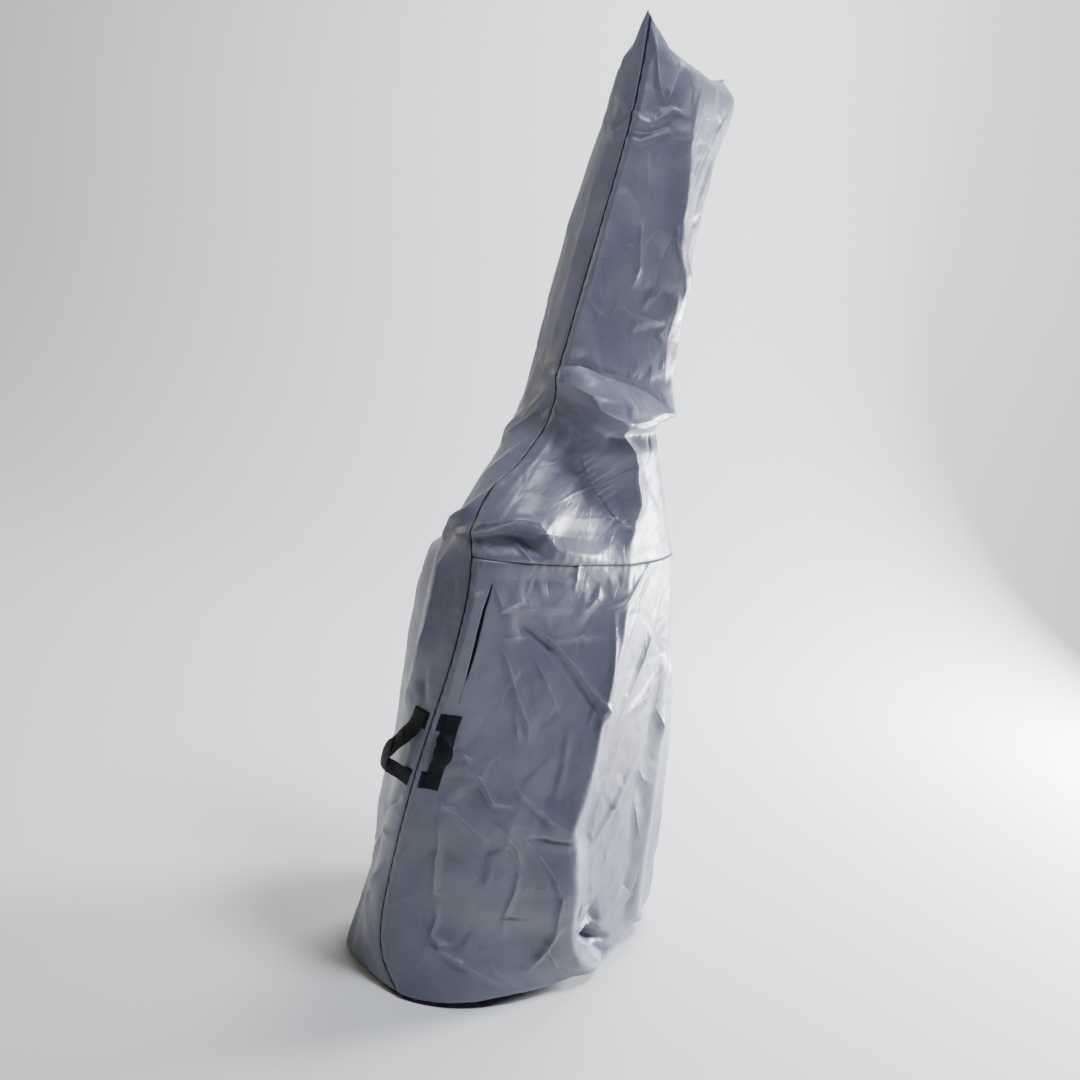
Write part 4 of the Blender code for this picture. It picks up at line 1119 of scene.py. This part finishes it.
nylon, tree, shader = new_material("coated nylon taffeta")
where = cloth_map(tree)
patch = ramp(tree, noise(tree, where, 0.12), 0.35, 0.65, 0.0, 1.0)
lines = fold_lines(tree, where, 0.075, 0.0022)
gap, strength = maths(tree, "ABSOLUTE", socket_of(tree, "crest gap")), socket_of(tree, "crest strength")
# Painted highlight: a pale line along the tops of sharp raised creases, in patches, where light would catch
# them.
crest_highlight = maths(tree, "MULTIPLY", ramp(tree, gap, 0.0006, 0.0026, 1.0, 0.0), strength)
patchy_crest_highlight = maths(tree, "MULTIPLY", crest_highlight, ramp(tree, noise(tree, where, 0.025), 0.30, 0.60, 0.20, 0.85))
grey, pale, wear_and_highlight = (hex_colour(code) for code in (NYLON_GREY, NYLON_PALE, NYLON_WEAR_AND_HIGHLIGHT))
ground = blend(tree, maths(tree, "MULTIPLY", lines, 0.30), blend(tree, patch, grey, pale), wear_and_highlight)
tree.links.new(blend(tree, patchy_crest_highlight, ground, wear_and_highlight), shader.inputs["Base Color"])
tree.links.new(ramp(tree, noise(tree, where, 0.035, 0.6), 0.3, 0.7, 0.38, 0.50), shader.inputs["Roughness"])
crinkle = bump(tree, noise(tree, where, 0.030, 0.55, 3.0, "RIDGED_MULTIFRACTAL", 0.6), 0.0009, 0.55)
creased = bump(tree, lines, 0.0006, 0.7, crinkle)
ridge = maths(tree, "MULTIPLY", ramp(tree, gap, 0.0, 0.0065, 1.0, 0.0), strength)
creased = bump(tree, ridge, 0.0016, 1.0, creased)
ripple = bump(tree, noise(tree, where, 0.007, 0.5, 2.0, "FBM", 0.8), 0.00025, 0.5, creased)
threads = maths(tree, "MULTIPLY", *(wave(tree, where, WEAVE_PERIOD, way) for way in "XY"))
tree.links.new(bump(tree, threads, 0.00004, 0.5, ripple), shader.inputs["Normal"])
for name, value in (
    ("Sheen Weight", 0.08), ("Sheen Roughness", 0.4), ("Coat Weight", 0.10), ("Coat Roughness", 0.35),
):
    shader.inputs[name].default_value = value
print(nylon.name, len(tree.nodes), "nodes")

# %% [markdown]
# ## Binding, webbing, the slit's shade strip and thread
# The other fabrics share one recipe: a dark colour that varies a little, and a rib across the run
# of the tape. Webbing is ribbed coarsely, and the near-black slit strip, which is painted shade,
# finely and dull. Threads are so small that only their colour and a low gloss count.

# %% Trim materials
def trim(name, colour, pale, rough, rib, depth, mapped=True, gloss=0.22):
    """Ribbed dark fabric. Rib is the real distance between two ribs."""
    material, tree, shader = new_material(name)
    where = cloth_map(tree) if mapped else add_node(tree, "ShaderNodeTexCoord").outputs["Object"]
    wear = ramp(tree, noise(tree, where, 0.012, 0.6), 0.35, 0.7, 0.0, 1.0)
    tree.links.new(blend(tree, wear, hex_colour(colour), hex_colour(pale)), shader.inputs["Base Color"])
    tree.links.new(ramp(tree, wear, 0.0, 1.0, rough - 0.06, rough + 0.08), shader.inputs["Roughness"])
    ribs = wave(tree, where, rib, "Y" if mapped else "Z", 0.6)
    tree.links.new(bump(tree, ribs, depth, 0.7), shader.inputs["Normal"])
    shader.inputs["Specular IOR Level"].default_value = gloss
    return material


binding = trim("seam binding tape", "#151a29", "#222638", 0.60, 0.0016, 0.0002, mapped=False)
webbing = trim("black ribbed webbing", "#07090d", "#11161d", 0.60, 0.0024, 0.0006)
# The slit strip's near-black colour is painted shade for the gap of the slit and the dark case behind it.
tape = trim("slit shade strip", "#08080a", "#0e0e11", 0.80, 0.0015, 0.0002)
dark_thread = trim("dark sewing thread", "#20232d", "#2c303c", 0.55, 0.0008, 0.0001, mapped=False)
grey_thread = trim("grey sewing thread", "#878a94", "#7b7e88", 0.50, 0.0008, 0.0001, mapped=False)
print([m.name for m in (binding, webbing, tape, dark_thread, grey_thread)])

# %% [markdown]
# ## Stitches
# Stitches repeat by the hundred, so a node tree makes them: a row is drawn as a line of edges, the
# line is cut into even steps, and a small thread bead is set on each step, pointing along the row.
# The steps, the bead's size and the thread are inputs, so one tree serves every row.

# %% Stitch tree
STITCH_INPUTS = (("Pitch", 0.005), ("Stitch length", 0.0036), ("Thread radius", 0.0006), ("Unevenness", 0.12))


def stitch_tree():
    """Node tree that sets thread beads along the edges of a mesh."""
    tree = bpy.data.node_groups.new("stitch row", "GeometryNodeTree")
    socket = tree.interface.new_socket
    socket("Geometry", in_out="INPUT", socket_type="NodeSocketGeometry")
    for name, value in STITCH_INPUTS:
        socket(name, in_out="INPUT", socket_type="NodeSocketFloat").default_value = value
    socket("Thread", in_out="INPUT", socket_type="NodeSocketMaterial")
    socket("Geometry", in_out="OUTPUT", socket_type="NodeSocketGeometry")

    def made(kind, inputs=None, output=0, **settings):
        return add_node(tree, kind, inputs, **settings).outputs[output]

    given = add_node(tree, "NodeGroupInput").outputs
    line = made("GeometryNodeMeshToCurve", {"Mesh": given["Geometry"]})
    steps = made("GeometryNodeResampleCurve", {"Curve": line, "Length": given["Pitch"]}, mode="LENGTH")
    turn = made("FunctionNodeAlignRotationToVector", {"Vector": made("GeometryNodeInputTangent")}, axis="Z")
    least = maths(tree, "SUBTRACT", 1.0, given["Unevenness"])
    uneven = made("FunctionNodeRandomValue", {"Seed": 3, 2: least, 3: 1.0}, 1, data_type="FLOAT")
    half = maths(tree, "MULTIPLY", given["Stitch length"], 0.5)
    radius = given["Thread radius"]
    long_way = maths(tree, "MULTIPLY", half, uneven)
    size = made("ShaderNodeCombineXYZ", {"X": radius, "Y": radius, "Z": long_way})
    bead = made("GeometryNodeMeshUVSphere", {"Segments": 8, "Rings": 4, "Radius": 1.0}, "Mesh")
    rows = made("GeometryNodeInstanceOnPoints", {
        "Points": steps, "Instance": bead, "Rotation": turn, "Scale": size})
    smooth = made("GeometryNodeSetShadeSmooth", {"Geometry": made("GeometryNodeRealizeInstances", {0: rows})})
    sewn = made("GeometryNodeSetMaterial", {"Geometry": smooth, "Material": given["Thread"]})
    add_node(tree, "NodeGroupOutput", {"Geometry": sewn})
    return tree


STITCH_TREE = stitch_tree()
print("stitch tree", len(STITCH_TREE.nodes), "nodes")

# %% [markdown]
# ## Where the rows of stitches run
# The cross seam and the end of the dart beside it are sewn with dark thread, the slit is edged with
# grey thread, and a tail of dark thread runs on below the slit. The hem is turned up and sewn in grey
# all round. The rows are lines on the cloth, read from it, and lie on its outside.

# %% Stitch rows
ROW_END, EDGE_ROW, THREAD_LIFT = 0.004, 0.0024, 0.0002


def stitch_row(read, route, lift=THREAD_LIFT, step=0.0025):
    """Points of a row along straight runs between (distance, height) corners."""
    route = np.array(route)
    run = run_along(route)
    t = np.linspace(0.0, run[-1], int(run[-1] / step) + 2)
    points, normals = read(np.interp(t, run, route[:, 0]), np.interp(t, run, route[:, 1]))
    return points + normals * lift


def sewn_rows(name, rows, pitch, length, radius, thread):
    """One object of stitches from rows of points, made plain after the tree has run."""
    vertices, edges = [], []
    for row in rows:
        edges += [(len(vertices) + k, len(vertices) + k + 1) for k in range(len(row) - 1)]
        vertices += row.tolist()
    thing = new_object(name, vertices, [], edges)
    modifier = thing.modifiers.new("stitches", "NODES")
    modifier.node_group = STITCH_TREE
    values = {"Pitch": pitch, "Stitch length": length, "Thread radius": radius, "Thread": thread}
    for item in STITCH_TREE.interface.items_tree:
        if item.in_out == "INPUT" and item.name in values:
            modifier[item.identifier] = values[item.name]
    graph = bpy.context.evaluated_depsgraph_get()
    made = bpy.data.meshes.new_from_object(thing.evaluated_get(graph), depsgraph=graph)
    thing.modifiers.remove(modifier)
    thing.data = made
    if not made.materials:
        made.materials.append(thread)
    print(name, len(made.polygons), "faces")
    return thing


cross_length = girth(CROSS_SEAM)[4][1]
read_cross = cloth_reader(1, 0.0, cross_length, 0.965, 1.03, 0.0045)
seam_rows = [
    stitch_row(read_cross, ((ROW_END, CROSS_SEAM), (cross_length - ROW_END, CROSS_SEAM))),
    stitch_row(read_cross, ((0.023, 0.973), (0.028, 0.997), (0.043, 1.010), (0.064, 1.021))),
    stitch_row(read_right, ((0.049, 0.722), (0.0495, 0.700), (0.050, 0.676))),
]
slit_heights = np.linspace(SLIT[0, 0] + ROW_END, SLIT[-1, 0] - ROW_END, 30)
middle, half = np.interp(slit_heights, *SLIT.T), slit_half(slit_heights) + EDGE_ROW
edge_rows = [stitch_row(read_right, np.stack([middle + way * half, slit_heights], -1)) for way in (-1.0, 1.0)]
seam_stitches = sewn_rows("seam_stitches", seam_rows, 0.0052, 0.0044, 0.00065, dark_thread)
slit_stitches = sewn_rows("slit_stitches", edge_rows, 0.0042, 0.0030, 0.00040, grey_thread)

# %% [markdown]
# ## Hem
# The hem is a narrow turned edge with one row of stitches all round. The row follows the cloth of
# both sides a little above the edge, so it takes up every wave of the hem.

# %% Hem stitches
def hem_row(side, height=0.011, above=0.003, count=420):
    """Points all along a panel, a little above its edge."""
    spots = np.linspace(ROW_END, girth(height)[4][side] - ROW_END, count)
    points, normals, _, _ = cloth(side, np.array((height, height + above)), lambda h, length: spots, detail)
    return points[0] + normals[0] * THREAD_LIFT


hem_stitches = sewn_rows("hem_stitches", [hem_row(1), hem_row(-1)], 0.0046, 0.0036, 0.00045, grey_thread)

# %% [markdown]
# ## Sewing on the straps
# A strap that has to carry weight is sewn down in a box at each end. Only the rows near the seam
# show, because the strap itself covers the others.

# %% Strap stitches
BOX_HALF, BOX_NEAR, BOX_FAR, BOX_SLANT = 0.0155, 0.020, 0.0275, 0.010


def on_strap(read, route):
    return stitch_row(read, route, STRAP_SEAT + STRAP_THICK + 0.0001)


strap_rows = []
for middle in RIGHT_TABS:
    low, high = middle / 1000 - BOX_HALF, middle / 1000 + BOX_HALF
    for route in (
        ((BOX_FAR, low), (BOX_NEAR, low), (BOX_NEAR, high), (BOX_FAR, high)),
        ((BOX_NEAR, low), (BOX_FAR, low + BOX_SLANT)), ((BOX_NEAR, high), (BOX_FAR, high - BOX_SLANT)),
    ):
        strap_rows.append(on_strap(read_right, route))
for low, high in ((0.463, 0.492), (0.602, 0.631)):
    route = ((-0.022, low), (-0.0145, low), (-0.0145, high), (-0.022, high))
    strap_rows.append(on_strap(read_left, route))
strap_stitches = sewn_rows("strap_stitches", strap_rows, 0.0036, 0.0028, 0.00045, dark_thread)

# %% [markdown]
# ## Handing the pieces over
# Each piece gets its material, rides on the one body of the model and takes the place of its plain
# CAD solid. The table also gives each piece a slot name, which this loop does not use.

# %% Pieces and slots
for piece, material, slot, node in (
    (left_panel, nylon, "cover_cloth", "left_panel"),
    (upper_panel, nylon, "cover_cloth", "right_upper_panel"),
    (lower_panel, nylon, "cover_cloth", "right_lower_panel"),
    (near_bead, binding, "seam_binding", "near_seam_binding"),
    (far_bead, binding, "seam_binding", "far_seam_binding"),
    (slit_shade_backing, tape, "slit_tape", "slit_placket"),
    (right_strap, webbing, "webbing", "right_handle"),
    (left_strap, webbing, "webbing", "left_handle"),
    (seam_stitches, None, "seam_binding", None),
    (slit_stitches, None, "cover_cloth", None),
    (hem_stitches, None, "cover_cloth", None),
    (strap_stitches, None, "webbing", None),
):
    if material is not None:
        piece.data.materials.append(material)
    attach(piece, "root")
    if node is not None:
        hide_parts(node)
print("pieces handed over")

# %% [markdown]
# ## Floor, world and lights
# A pale sweep, flat under the cover and curving up behind it, gives a calm ground without a
# horizon. The daylight comes from the right and a little behind, so that the side of the cover
# is bright and its front lies in half shade, which is what makes the folds readable.

# %% Sweep
def sweep(floor_z, turn_at, radius, top, half_width):
    """Floor that curves up into a wall behind the cover."""
    away, across = np.array(heading[:2]), np.array(level[:2])
    profile = [(-6.0, floor_z), (turn_at, floor_z)]
    for k in range(1, 13):
        angle = 0.5 * math.pi * k / 12
        profile.append((turn_at + radius * math.sin(angle), floor_z + radius * (1.0 - math.cos(angle))))
    profile.append((turn_at + radius, top))
    sides = (-half_width, half_width)
    vertices = [(*(away * run + across * side), z) for run, z in profile for side in sides]
    faces = [(2 * k, 2 * k + 1, 2 * k + 3, 2 * k + 2) for k in range(len(profile) - 1)]
    ground = new_object("sweep", vertices, faces)
    ground.data.shade_smooth()
    return ground


floor = sweep(cad_box[0][2] - 0.01, 2.6, 2.4, 7.0, 9.0)
paper, tree, shader = new_material("pale floor")
grain = noise(tree, add_node(tree, "ShaderNodeTexCoord").outputs["Object"], 0.30)
tree.links.new(ramp(tree, grain, 0.3, 0.7, 0.87, 0.91), shader.inputs["Roughness"])
shader.inputs["Base Color"].default_value = hex_colour("#eeeeef")
floor.data.materials.append(paper)
print("sweep", len(floor.data.polygons), "faces")

# %% [markdown]
# ## Daylight from large soft lamps
# Folds in cloth only read when the light comes mostly from one side. A large lamp stands for the
# window, a second one for the sky, and three weak ones lift the backdrop and the shaded side.

# %% World and lights
WORLD_LIGHT, WORLD_COLOUR = 0.02, (0.93, 0.96, 1.0, 1)
world = bpy.data.worlds.new("studio")
bpy.context.scene.world = world
world.use_nodes = True
background = world.node_tree.nodes["Background"].inputs
background["Color"].default_value, background["Strength"].default_value = WORLD_COLOUR, WORLD_LIGHT


def soft_light(name, place, aim, size, watts, colour, beam=180):
    """Round area light, with a beam in degrees."""
    data = bpy.data.lights.new(name, "AREA")
    data.shape, data.size, data.energy, data.color = "DISK", size, watts, colour
    data.spread = math.radians(beam)
    light = bpy.data.objects.new(name, data)
    light.location = place
    light.rotation_euler = (Vector(aim) - Vector(place)).to_track_quat("-Z", "Y").to_euler()
    bpy.context.scene.collection.objects.link(light)


soft_light("window", (1.9, 4.1, -0.9), (0, 0, -1.1), 1.1, 720, (0.95, 0.975, 1.0))
soft_light("sky", (2.0, 0.5, 5.2), (0, 0, -1.2), 1.6, 420, (0.86, 0.92, 1.0))
soft_light("backdrop", (-0.6, 1.6, 3.2), (-2.6, 3.9, -1.4), 1.6, 220, (1.0, 1.0, 1.0))
soft_light("room", (-3.0, -1.6, 0.1), (0, 0, -1.1), 1.0, 3.5, (1.0, 0.88, 0.66), 60)
soft_light("front", (1.3, -1.9, 1.1), (-0.05, 0, -0.25), 0.8, 2.2, (0.88, 0.93, 1.0), 45)
print(len(bpy.data.lights), "lamps")
